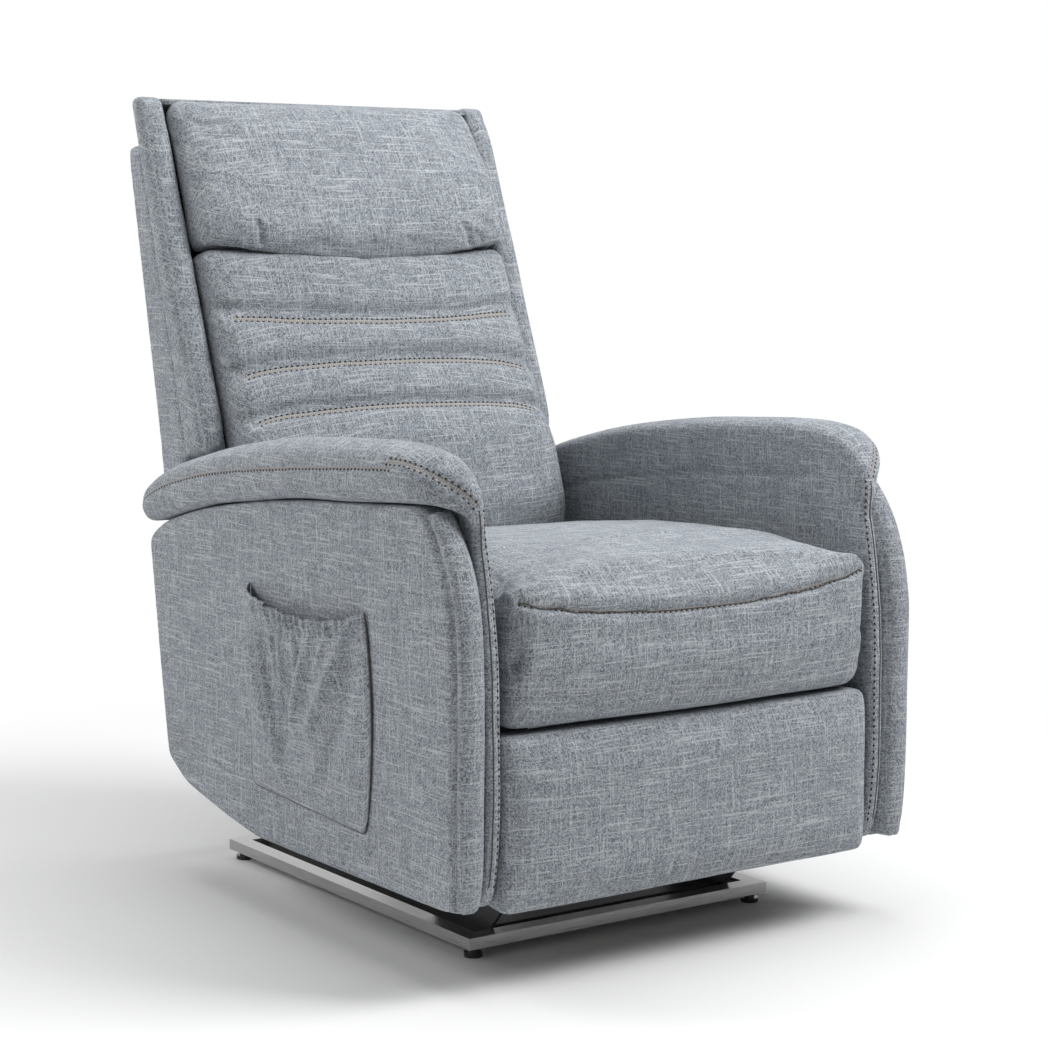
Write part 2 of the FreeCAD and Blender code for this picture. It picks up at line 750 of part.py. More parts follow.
def seat_frame():
    """Cross rails, webbing, the tube for the recline actuator and the control box."""
    for label, y in (("seat_front_rail", "front_rail_y"), ("seat_rear_rail", "rear_rail_y")):
        keep(block(label, "-arm_inner_half", y, "seat_rail_bottom",
                   "2 * arm_inner_half", "seat_rail_deep", "seat_rail_tall"), label)
    straps = [block(f"seat_strap_{index}", f"{offset} * webbing_pitch - webbing_wide / 2",
                    "front_rail_y", SEAT_RAIL_TOP, "webbing_wide",
                    "rear_rail_y + seat_rail_deep - front_rail_y", "webbing_thick")
              for index, offset in enumerate((-1.5, -0.5, 0.5, 1.5))]
    keep(joined("seat_webbing", straps), "seat_webbing")
    tube_y = "recline_motor_y - recline_tube_setback"
    tube = rod("recline_mount_round", "x", f"-({PLATE_X})", tube_y, "recline_motor_z",
               "cross_tube_radius", f"2 * ({PLATE_X})")
    reach = "lug_half_wide + mount_ear_gap"
    ears = [link_bar(f"recline_ear_{name}", mirrored(reach, side, "mount_ear_thick"),
                     "mount_ear_thick", (tube_y, "recline_motor_z"),
                     ("recline_motor_y", "recline_motor_z"), "push_ear_half_wide",
                     (("recline_motor_y", "recline_motor_z", "pin_radius"),))
            for side, name in SIDES]
    span = f"{reach} + mount_ear_thick"
    pin = rod("recline_motor_pin", "x", f"-({span})", "recline_motor_y", "recline_motor_z",
              "pin_radius", f"2 * ({span})")
    keep(joined("recline_motor_mount", [tube] + ears + [pin]), "recline_motor_mount")
    keep(block("control_box", "webbing_pitch / 2", "rear_rail_y - box_deep",
               f"{SEAT_RAIL_TOP} - box_tall - plane_gap", "box_long", "box_deep", "box_tall"),
         "control_box")
    keep(rod("power_inlet", "x", "webbing_pitch / 2 + box_long", "rear_rail_y - box_deep / 2",
             f"{SEAT_RAIL_TOP} - box_tall / 2 - plane_gap", "inlet_radius", "inlet_long"),
         "power_inlet")


# --------------------------------------------------------------------------- leg rest

def leg_linkage():
    """Per side: a main link, an equal guide link, and the coupler that carries the leg rest."""
    guides = []
    couplers = []
    for side, name in SIDES:
        swing = mirrored(LEG_X, side, "leg_link_thick")
        label = f"leg_link_{name}"
        keep(link_bar(label, swing, "leg_link_thick", LEG_PIVOT, LEG_KNEE, "leg_half_wide",
                      ((*LEG_PIVOT, HOLE), (*LEG_KNEE, HOLE))), label)
        guides.append(link_bar(f"leg_guide_{name}", swing, "leg_link_thick", GUIDE_PIVOT,
                               GUIDE_KNEE, "leg_half_wide",
                               ((*GUIDE_PIVOT, HOLE), (*GUIDE_KNEE, HOLE))))
        x = mirrored(COUPLER_X, side, "leg_link_thick")
        couplers.append(link_bar(f"leg_coupler_{name}", x, "leg_link_thick", LEG_KNEE, LEG_END,
                                 "leg_half_wide",
                                 ((*LEG_KNEE, "pin_radius"), (*GUIDE_KNEE, "pin_radius"),
                                  (*LEG_END, HOLE))))
    keep(joined("leg_guides", guides), "leg_guides")
    keep(joined("leg_couplers", couplers), "leg_couplers")
    both = "2 * leg_link_thick + plane_gap"
    pins("leg_knee_pins", ((LEG_KNEE, LEG_X, both), (GUIDE_KNEE, LEG_X, both)))
    pins("leg_end_pins", ((LEG_END, COUPLER_X, both),))


def leg_rest():
    """The board with its two brackets, and the padded front panel."""
    board_rear = "leg_board_front + leg_board_thick"
    half = "leg_pad_half - leg_board_margin"
    low = "leg_pad_bottom + leg_board_margin"
    keep(block("leg_rest_board", f"-({half})", "leg_board_front", low,
               f"2 * ({half})", "leg_board_thick", f"leg_pad_top - leg_board_margin - ({low})"),
         "leg_rest_board")
    outline = (
        (board_rear, "leg_end_z - 3.5 * leg_half_wide"),
        ("leg_end_y + 0.8 * leg_half_wide", "leg_end_z - leg_half_wide"),
        ("leg_end_y + 0.8 * leg_half_wide", "leg_end_z + leg_half_wide"),
        (board_rear, "leg_end_z + 3.5 * leg_half_wide"),
    )
    brackets = [side_plate(f"leg_bracket_{name}", mirrored(BRACKET_X, side, "leg_link_thick"),
                           "leg_link_thick", outline, ((*LEG_END, "pin_radius"),))
                for side, name in SIDES]
    keep(joined("leg_rest_brackets", brackets), "leg_rest_brackets")

    rear = size("leg_board_front - seat_gap")
    front = size("leg_pad_front")
    bottom = size("leg_pad_bottom")
    top = size("leg_pad_top")
    crown = size("leg_pad_crown")
    half_wide = size("leg_pad_half")
    middle = (bottom + top) / 2
    wires = []
    for share, draw in soft_sections(0.88):
        puff = crown * (1 - share ** 4)
        corners = [
            (front + 5, bottom, 20),
            (front - puff, bottom + 50, 60),
            (front - puff, top - 45, 60),
            (front + 8, top, 22),
            (rear, top - 4, 6),
            (rear, bottom + 6, 6),
        ]
        wires.append(rounded_wire(shrunk(corners, (rear, middle), draw, 1 - (1 - draw) * 0.3),
                                  at_x(share * half_wide)))
    formed("leg_rest_pad", lofted(wires, True))


# --------------------------------------------------------------------------- seat cushion

def seat_cushion():
    """A crowned cushion whose front rolls down over the front rail, with a sewn line across."""
    half_wide = size("seat_half")
    front = size("seat_front")
    rear = size("seat_rear")
    crown = size("seat_crown")
    low = size("nose_bottom")
    seam = size("seam_height")
    base = size(f"{SEAT_RAIL_TOP} + webbing_thick + seat_gap")
    nose_rear = size("front_rail_y - 5")
    core = (front + nose_rear) / 2 + 40
    wires = []
    for share, draw in soft_sections(0.93):
        drop = 22 * share ** 4 + 6 * share ** 2
        back = 12 * share ** 4
        seam_here = seam + 20 * share ** 2
        corners = [
            (rear, base, 12),
            (rear, crown - 30 - drop * 0.4, 30),
            (between(front, rear, 0.66), crown - 6 - drop * 0.7, 200),
            (between(front, rear, 0.28), crown - drop, 120),
            (between(front, rear, 0.10), crown - 8 - drop, 50),
            (front + 8 + back, seam_here + 9, 12),
            (front + 7 + back, seam_here, 2),
            (front + 2 + back, seam_here - 9, 10),
            (front + back, (seam + low) / 2, 60),
            (front + 18 + back, low, 38),
            (nose_rear, low + 5, 12),
            (nose_rear, base, 3),
        ]
        drawn = [(a, b if abs(b - base) < 1 else base + (b - base) * draw, r)
                 for a, b, r in corners]
        drawn = [(core + (a - core) * (1 - (1 - draw) * 0.5), b, r) for a, b, r in drawn]
        wires.append(rounded_wire(drawn, at_x(share * half_wide)))
    formed("seat_cushion", lofted(wires, True))


# --------------------------------------------------------------------------- arms

BOARD_OUTLINE = (
    (0.018, 0.0, 0.02), (0.001, 0.124, 0.12), (0.0, 0.60, 0.33), (0.028, 0.86, 0.25),
    (0.093, 0.998, 0.04), (0.485, 0.959, 0.62), (0.736, 0.909, 0.41), (0.924, 0.843, 0.12),
    (0.981, 0.772, 0.05), (0.939, 0.139, 0.017), (0.871, 0.079, 0.12), (0.723, 0.029, 0.25),
    (0.56, 0.0, 0.41),
)
PANEL_OUTLINE = (
    (0.005, 0.0, 0.03), (-0.001, 0.145, 0.12), (-0.003, 0.57, 0.33), (0.03, 0.843, 0.25),
    (0.093, 1.0, 0.04), (0.485, 0.959, 0.62), (0.736, 0.909, 0.41), (0.924, 0.843, 0.12),
    (1.0, 0.778, 0.025), (0.939, 0.13, 0.017), (0.871, 0.075, 0.12), (0.723, 0.027, 0.25),
    (0.56, 0.0, 0.41),
)


def arm_outline(shares):
    """Corners of an arm's side: along its length, up its height, and radius by its height."""
    front = size("arm_front")
    low = size("arm_bottom")
    long = size("arm_rear") - front
    tall = size("arm_top") - low
    return [(front + along * long, low + up * tall, radius * tall)
            for along, up, radius in shares]


def arm_boards():
    """Per side: the inner board, and the padded outer panel with its rolled edges."""
    half = size("arm_inner_half")
    thick = size("arm_board_thick")
    outer = size("arm_outer_half")
    inner_board = arm_outline(BOARD_OUTLINE)
    board = lofted([rounded_wire(inner_board, at_x(half)),
                    rounded_wire(inner_board, at_x(half + thick))], True)
    panel = arm_outline(PANEL_OUTLINE)
    edge = half + thick + size("seat_gap")
    roll = lofted([rounded_wire(inset(panel, depth), at_x(x)) for x, depth in (
        (edge, 2.0), (edge + 6, 0.0), (outer - 14, 0.0), (outer - 6, 2.5),
        (outer - 2, 6.0), (outer, 12.0))], True)
    for label, shape in (("arm_board", board), ("arm_panel", roll)):
        formed(f"{label}_right", shape)
        formed(f"{label}_left", flipped(shape))


def arm_top_at(y):
    """Height of an arm's top edge at y, straight between the corners of its outline."""
    edge = [corner[:2] for corner in arm_outline(PANEL_OUTLINE)[4:9]]
    for (near, high), (far, low) in zip(edge, edge[1:]):
        if y <= far or (far, low) == edge[-1]:
            return between(high, low, (y - near) / (far - near))


def arm_pads():
    """The padded tops of the arms: they lie on the arms' top edge and fall to the rear."""
    inner = size("arm_pad_inner")
    outer = size("arm_pad_outer")
    front = size("arm_pad_front")
    rear = size("arm_pad_rear")
    top = size("arm_pad_top")
    bed = size("arm_pad_bed")
    stations = (
        (front, 54, bed - 14, 14),
        (front + 8, 34, bed - 7, 6),
        (front + 34, 13, bed, 1),
        (front + 90, 3, bed, 0),
        (between(front, rear, 0.17), 3, bed, 0),
        (between(front, rear, 0.306), 4, bed, 0),
        (between(front, rear, 0.4575), 11, bed, 0),
        (between(front, rear, 0.558), 20, bed, 0),
        (between(front, rear, 0.709), 36, bed, 0),
        (between(front, rear, 0.898), 68, bed, 0),
        (rear - 24, 92, bed + 16, 3),
        (rear - 8, 104, bed + 32, 8),
        (rear, 114, bed + 50, 16),
    )
    wires = []
    for y, fall, lift, draw in stations:
        high = top - fall
        low = arm_top_at(y) + lift
        deep = high - low
        soft = min(24, deep * 0.45)
        corners = [
            (inner + draw, low, 3),
            (outer - draw, low, soft * 0.6),
            (outer - draw, high - 12, soft),
            ((inner + outer) / 2, high, 90),
            (inner + draw, high - 9, soft * 0.9),
        ]
        wires.append(rounded_wire(corners, at_y(y)))
    shape = lofted(wires)
    formed("arm_pad_right", shape)
    formed("arm_pad_left", flipped(shape))


def side_pocket():
    """A cloth pocket on the left panel: gathered mouth, three hanging folds, sewn round the rest."""
    front = size("pocket_front")
    rear = size("pocket_rear")
    low = size("pocket_bottom")
    high = size("pocket_top")
    depth = size("pocket_depth")
    cloth = size("pocket_cloth")
    fold = size("pocket_fold")
    sag = size("pocket_sag")
    face = -size("arm_outer_half + seat_gap")
    span = rear - front

    def bulge_wire(z, bulge, narrow, ripple):
        """A closed strip at height z, from the panel out over the folds and back."""
        points = []
        steps = 12
        for step in range(steps + 1):
            across = step / steps
            round_over = 1 - (2 * across - 1) ** 4
            wave = ripple * (1 if step % 2 else -1) if 0 < step < steps else 0
            y = front + narrow + (span - 2 * narrow) * across
            points.append(Vector(face - 0.2 - bulge * round_over - wave * round_over, y, z))
        first = Vector(face, points[0].y, z)
        last = Vector(face, points[-1].y, z)
        edges = [Part.LineSegment(first, points[0]).toShape()]
        edges += [Part.Arc(points[i], points[i + 1], points[i + 2]).toShape()
                  for i in range(0, steps, 2)]
        edges += [Part.LineSegment(points[-1], last).toShape(),
                  Part.LineSegment(last, first).toShape()]
        return Part.Wire(edges)

    outer = lofted([
        bulge_wire(low + (high - low) * share, cloth + depth * swell, 0.0, fold * swell)
        for share, swell in ((0.0, 0.06), (0.12, 0.4), (0.45, 0.75), (0.8, 0.95), (1.0, 1.0))
    ], True)
    hollow = lofted([
        bulge_wire(low + (high - low) * share, depth * swell, cloth, fold * swell)
        for share, swell in ((0.05, 0.05), (0.14, 0.38), (0.45, 0.74), (0.8, 0.94), (1.02, 1.0))
    ], True)
    mouth = [
        (front - 5, high + 5, 1),
        (front - 5, high - 8, 1),
        (front + 2, high - 8, 1),
        (front + span * 0.35, high - sag + 4, 150),
        (front + span * 0.6, high - sag, 150),
        (rear, high, 1),
        (rear + 5, high + 5, 1),
    ]
    away = [rounded_wire(mouth, at_x(face + 5)), rounded_wire(mouth, at_x(face - 2 * depth))]
    formed("side_pocket", outer.cut(hollow).cut(lofted(away, True)))


# --------------------------------------------------------------------------- backrest

def back_point(rise, out):
    """Y and Z of a point rise along the back and out in front of its reference line."""
    tilt = math.radians(size("back_tilt"))
    y = size("back_ref_y") + rise * math.sin(tilt) - out * math.cos(tilt)
    z = size("back_ref_z") + rise * math.cos(tilt) + out * math.sin(tilt)
    return y, z


def back_block(label, x, width, rise, height, out, deep):
    """A bar in the back's own axes: rise runs up the back, out is its front face."""
    tilt = size("back_tilt")
    item = doc.addObject("Part::Box", label)
    bind(item, Length=width, Width=deep, Height=height)
    y, z = back_point(size(rise), size(out))
    turn = FreeCAD.Rotation(Vector(1, 0, 0), -tilt)
    item.Placement = FreeCAD.Placement(Vector(size(x), y, z), turn)
    return item


def back_frame():
    """Two posts, two rails and webbing, on brackets that turn about the recline pivots."""
    for side, name in SIDES:
        label = f"back_post_{name}"
        x = mirrored(f"{LINK_X} - post_wide", side, "post_wide")
        keep(back_block(label, x, "post_wide", "post_bottom", "post_top - post_bottom",
                        "-frame_setback", "post_wide"), label)
    reach = "wing_inner - seat_gap"
    keep(back_block("back_top_rail", f"-({reach})", f"2 * ({reach})", "post_top", "post_wide",
                    "-frame_setback", "post_wide"), "back_top_rail")
    keep(back_block("back_mid_rail", f"-({reach})", f"2 * ({reach})", "mid_rail_height",
                    "post_wide", "-frame_setback - post_wide", "post_wide"), "back_mid_rail")
    post_long = "(post_top - post_bottom)"
    straps = [back_block(f"back_strap_{index}", f"-({LINK_X})", f"2 * ({LINK_X})",
                         f"post_bottom + {share} * {post_long} - webbing_wide / 2", "webbing_wide",
                         "-frame_setback + webbing_thick", "webbing_thick")
              for index, share in enumerate((0.163, 0.309, 0.454, 0.6, 0.745, 0.891))]
    keep(joined("back_webbing", straps), "back_webbing")

    lever_tube = ("lever_y + 1.2 * recline_tube_setback", "lever_z + leg_half_wide")
    low = back_point(size("post_bottom") + 2, size("-frame_setback - post_wide + 2"))
    high = back_point(size("post_bottom + bracket_lap"), size("-frame_setback - post_wide + 2"))
    front_high = back_point(size("post_bottom + bracket_lap"), size("-frame_setback - 2"))
    front_low = back_point(size("post_bottom + bracket_lap / 4"), size("-frame_setback - 2"))
    outline = (
        ("recline_y - 1.4 * leg_half_wide", "recline_z + leg_half_wide"),
        ("recline_y - 1.4 * leg_half_wide", "recline_z - leg_half_wide"),
        (f"{lever_tube[0]} - 1.2 * leg_half_wide", f"{lever_tube[1]} - leg_half_wide"),
        (f"{lever_tube[0]} + leg_half_wide", f"{lever_tube[1]} - leg_half_wide"),
        (str(low[0] + 8), str(low[1])),
        (str(high[0]), str(high[1])),
        (str(front_high[0]), str(front_high[1])),
        (str(front_low[0]), str(front_low[1])),
    )
    brackets = [side_plate(f"recline_bracket_{name}", mirrored(LINK_X, side, "link_thick"),
                           "link_thick", outline, ((*RECLINE, HOLE),)) for side, name in SIDES]
    keep(joined("recline_brackets", brackets), "recline_brackets")
    tube = rod("recline_lever_tube_round", "x", f"-({LINK_X})", *lever_tube,
               "cross_tube_radius", f"2 * ({LINK_X})")
    ear = link_bar("recline_lever_ear", "-push_ear_thick / 2", "push_ear_thick",
                   lever_tube, LEVER, "push_ear_half_wide", ((*LEVER, HOLE),))
    keep(joined("recline_lever", [tube, ear]), "recline_lever_tube")


def wings():
    """The two padded side wings of the back."""
    low = size("wing_bottom")
    high = size("back_top")
    tilt = math.tan(math.radians(size("back_tilt")))
    deep_low = size("wing_deep_low")
    deep_high = size("wing_deep_high")
    front_low = size("back_ref_y") + (low - size("back_ref_z")) * tilt
    front_high = size("back_ref_y") + (high - size("back_ref_z")) * tilt
    outline = [
        (front_low, low, 14),
        (front_low + deep_low, low, 6),
        (front_high + deep_high, high, 14),
        (front_high, high - 4, 12),
    ]
    inner = size("wing_inner")
    outer = size("wing_outer")
    shape = lofted([rounded_wire(inset(outline, depth), at_x(x)) for x, depth in (
        (inner, 1.5), (inner + 4, 0.0), (outer - 12, 0.0), (outer - 4, 2.5), (outer, 9.0))], True)
    formed("wing_right", shape)
    formed("wing_left", flipped(shape))


def rear_cover():
    """The back's outer shell: rear wall with a slight crown, side walls, top and a low skirt."""
    slope = math.tan(math.radians(size("rear_tilt")))
    tilt = math.tan(math.radians(size("back_tilt")))
    low = size("wing_bottom")
    high = size("back_top")
    half = size("cover_half")
    wall = size("cover_wall")
    skirt = size("cover_bottom")
    gap = size("seat_gap")

    def rear_at(z):
        """Y of the rear wall's outer face."""
        return size("rear_ref_y") + (z - size("rear_ref_z")) * slope

    def seam_at(z):
        """Y of the line where a wing ends and the cover's side starts."""
        share = (z - low) / (high - low)
        deep = size("wing_deep_low") * (1 - share) + size("wing_deep_high") * share
        return size("back_ref_y") + (z - size("back_ref_z")) * tilt + deep + gap

    wires = []
    for share, crown in ((-1, 0.0), (-0.85, 0.5), (-0.4, 0.9), (0, 1.0),
                         (0.4, 0.9), (0.85, 0.5), (1, 0.0)):
        puff = crown * size("cover_crown")
        outline = [
            (seam_at(low), low, 4),
            (rear_at(low) - wall, low, 4),
            (rear_at(skirt) - wall, skirt, 2),
            (rear_at(skirt) + puff * 0.5, skirt, 4),
            (rear_at(high - 70) + puff, high - 70, 60),
            (rear_at(high - 12) - 8 + puff * 0.5, high - 12, 18),
            (seam_at(high - 6), high - 6, 3),
        ]
        wires.append(rounded_wire(outline, at_x(share * half)))
    hollow = [
        (seam_at(low + wall) - 60, low + wall, 1),
        (rear_at(low + wall) - wall, low + wall, 4),
        (rear_at(high - 70) - wall, high - 70, 30),
        (rear_at(high - 12) - wall - 8, high - 12 - wall, 4),
        (seam_at(high - 12 - wall) - 60, high - 12 - wall, 1),
    ]
    inside = lofted([rounded_wire(hollow, at_x(wall - half)),
                     rounded_wire(hollow, at_x(half - wall))], True)
    formed("rear_cover", lofted(wires).cut(inside))


def back_cushion():
    """The back's cushion: a full lower part and three sewn bands above it."""
    half = size("cushion_half")
    rear = size("webbing_thick + seat_gap - frame_setback")
    bottom = size("cushion_bottom")
    top = size("pillow_low - seat_gap")
    band_top = size("band_top")
    band_middle = size("band_middle")
    band_low = size("band_low")
    puff = size("band_puff")
    wires = []
    for share, draw in soft_sections(0.0):
        round_off = 20 * (1 - draw)
        crown = 24 * (1 - share ** 2)
        bend = 16 * (1 - share ** 2)
        profile = [
            (bottom, rear, 6),
            (bottom + 4, 28 + crown - round_off, 24),
            (bottom + 60, 50 + crown - round_off, 60),
            (band_low - 60 + bend, 52 + crown - round_off, 60),
            (band_low - 12 + bend, 34 + puff + crown - round_off, 12),
            (band_low + bend, 32 + crown - round_off, 2),
            (band_low + 14 + bend, 30 + puff + crown - round_off, 16),
            (band_middle - 14 + bend * 0.6, 22 + puff + crown - round_off, 16),
            (band_middle + bend * 0.6, 20 + crown - round_off, 2),
            (band_middle + 14 + bend * 0.6, 20 + puff + crown - round_off, 16),
            (band_top - 14 - bend * 0.6, 13 + puff + crown - round_off, 16),
            (band_top - bend * 0.6, 11 + crown - round_off, 2),
            (band_top + 14 - bend * 0.6, 12 + puff + crown - round_off, 16),
            (top - 12, 8 + crown - round_off, 12),
            (top, rear + 26 + crown * 0.5, 6),
            (top, rear, 6),
        ]
        corners = [(*back_point(rise, out), r) for rise, out, r in profile]
        wires.append(rounded_wire(corners, at_x(share * half)))
    formed("back_cushion", lofted(wires, True))


def headrest_pillow():
    """The pillow at the top of the back, overhanging the cushion below."""
    half = size("cushion_half")
    rear = size("webbing_thick + seat_gap - frame_setback")
    low = size("pillow_low")
    top = size("pillow_top")
    puff = size("pillow_puff")
    wires = []
    for share, draw in soft_sections(0.0):
        fullness = puff * (0.35 + 0.65 * (1 - share ** 4)) * (0.4 + 0.6 * draw)
        droop = 12 * (1 - share ** 2)
        profile = [
            (low, rear, 4),
            (low, 0, 10),
            (low - droop * 0.6 + 8, fullness * 0.85, 14),
            (low + 30, fullness + 6, 40),
            (low + 105, fullness + 8, 70),
            (top - 58, fullness * 0.8, 60),
            (top - 14, fullness * 0.2, 30),
            (top - 8 + 8 * draw, -10, 14),
            (top - 8 + 4 * draw, rear, 8),
        ]
        corners = [(*back_point(rise, out), r) for rise, out, r in profile]
        wires.append(rounded_wire(corners, at_x(share * half)))
    formed("headrest_pillow", lofted(wires, True))


# --------------------------------------------------------------------------- build and write

def check_and_write():
    """Stop at any failed object or shape, then write one file for each piece."""
    doc.recompute()
    for item in doc.Objects:
        if {"Invalid", "Error"} & set(item.State):
            raise RuntimeError(f"{item.Label} failed: {item.State}")
    os.makedirs("parts", exist_ok=True)
    for item in pieces:
        shape = item.Shape
        if shape.isNull() or not shape.isValid() or not shape.Solids:
            raise RuntimeError(f"{item.Label} has no valid solid")
        shape.exportStep(f"parts/{item.Label}.step")
    print(f"{len(pieces)} pieces written")


base_rails()
feet()
pivot_brackets()
cross_bars()
lift_arms()
control_links()
actuator("lift", LIFT_MOTOR, ("lift_push_y", "lift_push_z"))
chair_side_plates()
seat_frame()
actuator("recline", ("recline_motor_y", "recline_motor_z"), LEVER)
leg_linkage()
leg_rest()
seat_cushion()
arm_boards()
arm_pads()
side_pocket()
back_frame()
wings()
rear_cover()
back_cushion()
headrest_pillow()
check_and_write()
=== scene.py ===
"""Looks of a padded lift recliner chair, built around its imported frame."""

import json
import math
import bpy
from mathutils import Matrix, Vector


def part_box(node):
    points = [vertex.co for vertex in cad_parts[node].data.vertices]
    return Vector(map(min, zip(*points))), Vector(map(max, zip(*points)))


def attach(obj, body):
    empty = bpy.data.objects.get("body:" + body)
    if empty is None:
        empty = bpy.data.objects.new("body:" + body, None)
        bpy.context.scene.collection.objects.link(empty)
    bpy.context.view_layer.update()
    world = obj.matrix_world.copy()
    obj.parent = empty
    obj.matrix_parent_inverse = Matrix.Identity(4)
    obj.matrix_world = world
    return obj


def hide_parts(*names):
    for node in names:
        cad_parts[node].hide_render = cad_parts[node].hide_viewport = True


bl_info = {
    "name": "Lift recliner chair",
    "version": (1, 0, 0),
    "blender": (4, 5, 0),
    "location": "View3D > Sidebar > Recliner",
    "description": "Upholstery, stitching, pocket and finishes of a lift recliner chair",
    "category": "Object",
}

import bpy
import numpy as np
from bpy.props import FloatProperty, FloatVectorProperty, IntProperty, PointerProperty
from mathutils import Vector
from mathutils.bvhtree import BVHTree

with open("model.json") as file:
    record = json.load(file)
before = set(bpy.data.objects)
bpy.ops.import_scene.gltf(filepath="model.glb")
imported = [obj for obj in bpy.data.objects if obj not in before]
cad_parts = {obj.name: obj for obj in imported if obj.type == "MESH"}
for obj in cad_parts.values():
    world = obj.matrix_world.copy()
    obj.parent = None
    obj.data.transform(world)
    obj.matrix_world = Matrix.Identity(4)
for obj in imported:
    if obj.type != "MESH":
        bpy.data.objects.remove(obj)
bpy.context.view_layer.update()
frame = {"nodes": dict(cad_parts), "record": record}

SIDES = ((-1, "left"), (1, "right"))
BACK_TILT = math.radians(20.4)
BACK_REF = np.array([0.241, 0.613])
SEAT_HALF, BACK_HALF = 0.2812, 0.2618
POCKET_CLOTH = np.array([0.292, 0.262])
STITCH_SHARE, BAND_SHARE = 0.46, 0.62


# ------------------------------------------------------------------ sizes and colours

class ReclinerSizes(bpy.types.PropertyGroup):
    """Sizes of the upholstery that a user would change."""

    weave: FloatProperty(name="Yarn pitch", description="Distance between two yarns of the cloth",
                         default=0.0014, unit="LENGTH")
    stitch_pitch: FloatProperty(name="Stitch pitch", description="Distance from stitch to stitch",
                                default=0.0084, unit="LENGTH")
    thread: FloatProperty(name="Thread radius", description="Radius of the sewing thread",
                          default=0.0009, unit="LENGTH")
    row_gap: FloatProperty(name="Row gap", description="Distance between the rows of a double seam",
                           default=0.0088, unit="LENGTH")
    groove: FloatProperty(name="Seam depth", description="How deep a sewn seam pulls the cloth in",
                          default=0.0035, unit="LENGTH")
    voxel: FloatProperty(name="Cushion grid", description="Face size of a padded piece",
                         default=0.0065, unit="LENGTH")
    puff_cap: FloatProperty(name="Swell limit", description="How far a padded piece may swell",
                            default=0.006, unit="LENGTH")
    puff_frames: IntProperty(name="Swell frames", description="Frames of the swelling simulation",
                             default=20, min=2, max=60)


class ReclinerColours(bpy.types.PropertyGroup):
    """Colours of the finishes."""

    cloth: FloatVectorProperty(name="Cloth", description="Main colour of the cloth",
                               subtype="COLOR", size=3, default=(0.283, 0.308, 0.338))
    cloth_light: FloatVectorProperty(name="Light yarn", description="Colour of the pale slub yarns",
                                     subtype="COLOR", size=3, default=(0.56, 0.59, 0.615))
    cloth_dark: FloatVectorProperty(name="Dark yarn", description="Colour between the yarns",
                                    subtype="COLOR", size=3, default=(0.105, 0.118, 0.136))
    thread: FloatVectorProperty(name="Thread", description="Colour of the sewing thread",
                                subtype="COLOR", size=3, default=(0.36, 0.342, 0.325))
    # Dark colour of the marks between stitches: painted shade inside each needle hole.
    hole: FloatVectorProperty(name="Needle hole shade", description="Colour inside a needle hole",
                              subtype="COLOR", size=3, default=(0.030, 0.029, 0.032))
    steel: FloatVectorProperty(name="Base steel", description="Colour of the brushed base",
                               subtype="COLOR", size=3, default=(0.41, 0.41, 0.415))
    black: FloatVectorProperty(name="Mechanism", description="Colour of the painted mechanism",
                               subtype="COLOR", size=3, default=(0.022, 0.023, 0.026))
    floor: FloatVectorProperty(name="Floor", description="Colour of the floor",
                               subtype="COLOR", size=3, default=(0.82, 0.82, 0.82))


# ------------------------------------------------------------------ outlines and surfaces

def between(low, high, share):
    """The value at a share of the way from low to high."""
    return low + (high - low) * share


def bump(values, centre, width):
    """A smooth hill of height 1 at centre: e to the minus square of distance over width."""
    return np.exp(-((values - centre) / width) ** 2)


def rounding(radius, past):
    """How far a round edge has dropped past its start: radius less a root of squares."""
    return radius - math.sqrt(max(0.0, radius ** 2 - max(0.0, past) ** 2))


def rounded_loop(corners, arc=8, run=6):
    """Points of a closed outline whose corners are rounded.

    Each corner is (a, b, radius). Its arc is a quadratic curve from one tangent point through
    the corner's pull to the other, and straight runs join the arcs, so equal point numbers on
    two outlines mark the same place.
    """
    table = np.array(corners, float)
    points, radius = table[:, :2], table[:, 2]
    before = np.roll(points, 1, axis=0) - points
    after = np.roll(points, -1, axis=0) - points
    long_before = np.linalg.norm(before, axis=1, keepdims=True)
    long_after = np.linalg.norm(after, axis=1, keepdims=True)
    before, after = before / long_before, after / long_after
    half = np.arccos(np.clip((before * after).sum(1), -0.9999, 0.9999)) / 2
    reach = np.minimum(radius / np.tan(half), 0.49 * np.minimum(long_before, long_after)[:, 0])
    start = points + before * reach[:, None]
    end = points + after * reach[:, None]
    t = np.linspace(0, 1, arc)[None, :, None]
    arcs = ((1 - t) ** 2 * start[:, None] + 2 * t * (1 - t) * points[:, None]
            + t ** 2 * end[:, None])
    s = np.linspace(0, 1, run + 2)[None, 1:-1, None]
    runs = end[:, None] * (1 - s) + np.roll(start, -1, axis=0)[:, None] * s
    return np.concatenate([arcs, runs], axis=1).reshape(-1, 2)


def smooth_path(points, count):
    """count points along a smooth open curve through the given ones, evenly spaced.

    Each span is a cubic whose end slopes are half the chord between its neighbours.
    """
    table = np.array(points, float)
    ends = np.vstack([2 * table[0] - table[1], table, 2 * table[-1] - table[-2]])
    slope = (ends[2:] - ends[:-2]) / 2
    t = np.linspace(0, 1, 24, endpoint=False)[None, :, None]
    first, second = table[:-1, None], table[1:, None]
    rise, fall = slope[:-1, None], slope[1:, None]
    curve = ((2 * t ** 3 - 3 * t ** 2 + 1) * first + (t ** 3 - 2 * t ** 2 + t) * rise
             + (-2 * t ** 3 + 3 * t ** 2) * second + (t ** 3 - t ** 2) * fall)
    curve = np.vstack([curve.reshape(-1, table.shape[1]), table[-1]])
    return evenly(curve, count)


def lengths(line):
    """How far along a line of points each one lies."""
    return np.concatenate([[0], np.cumsum(np.linalg.norm(np.diff(line, axis=0), axis=1))])


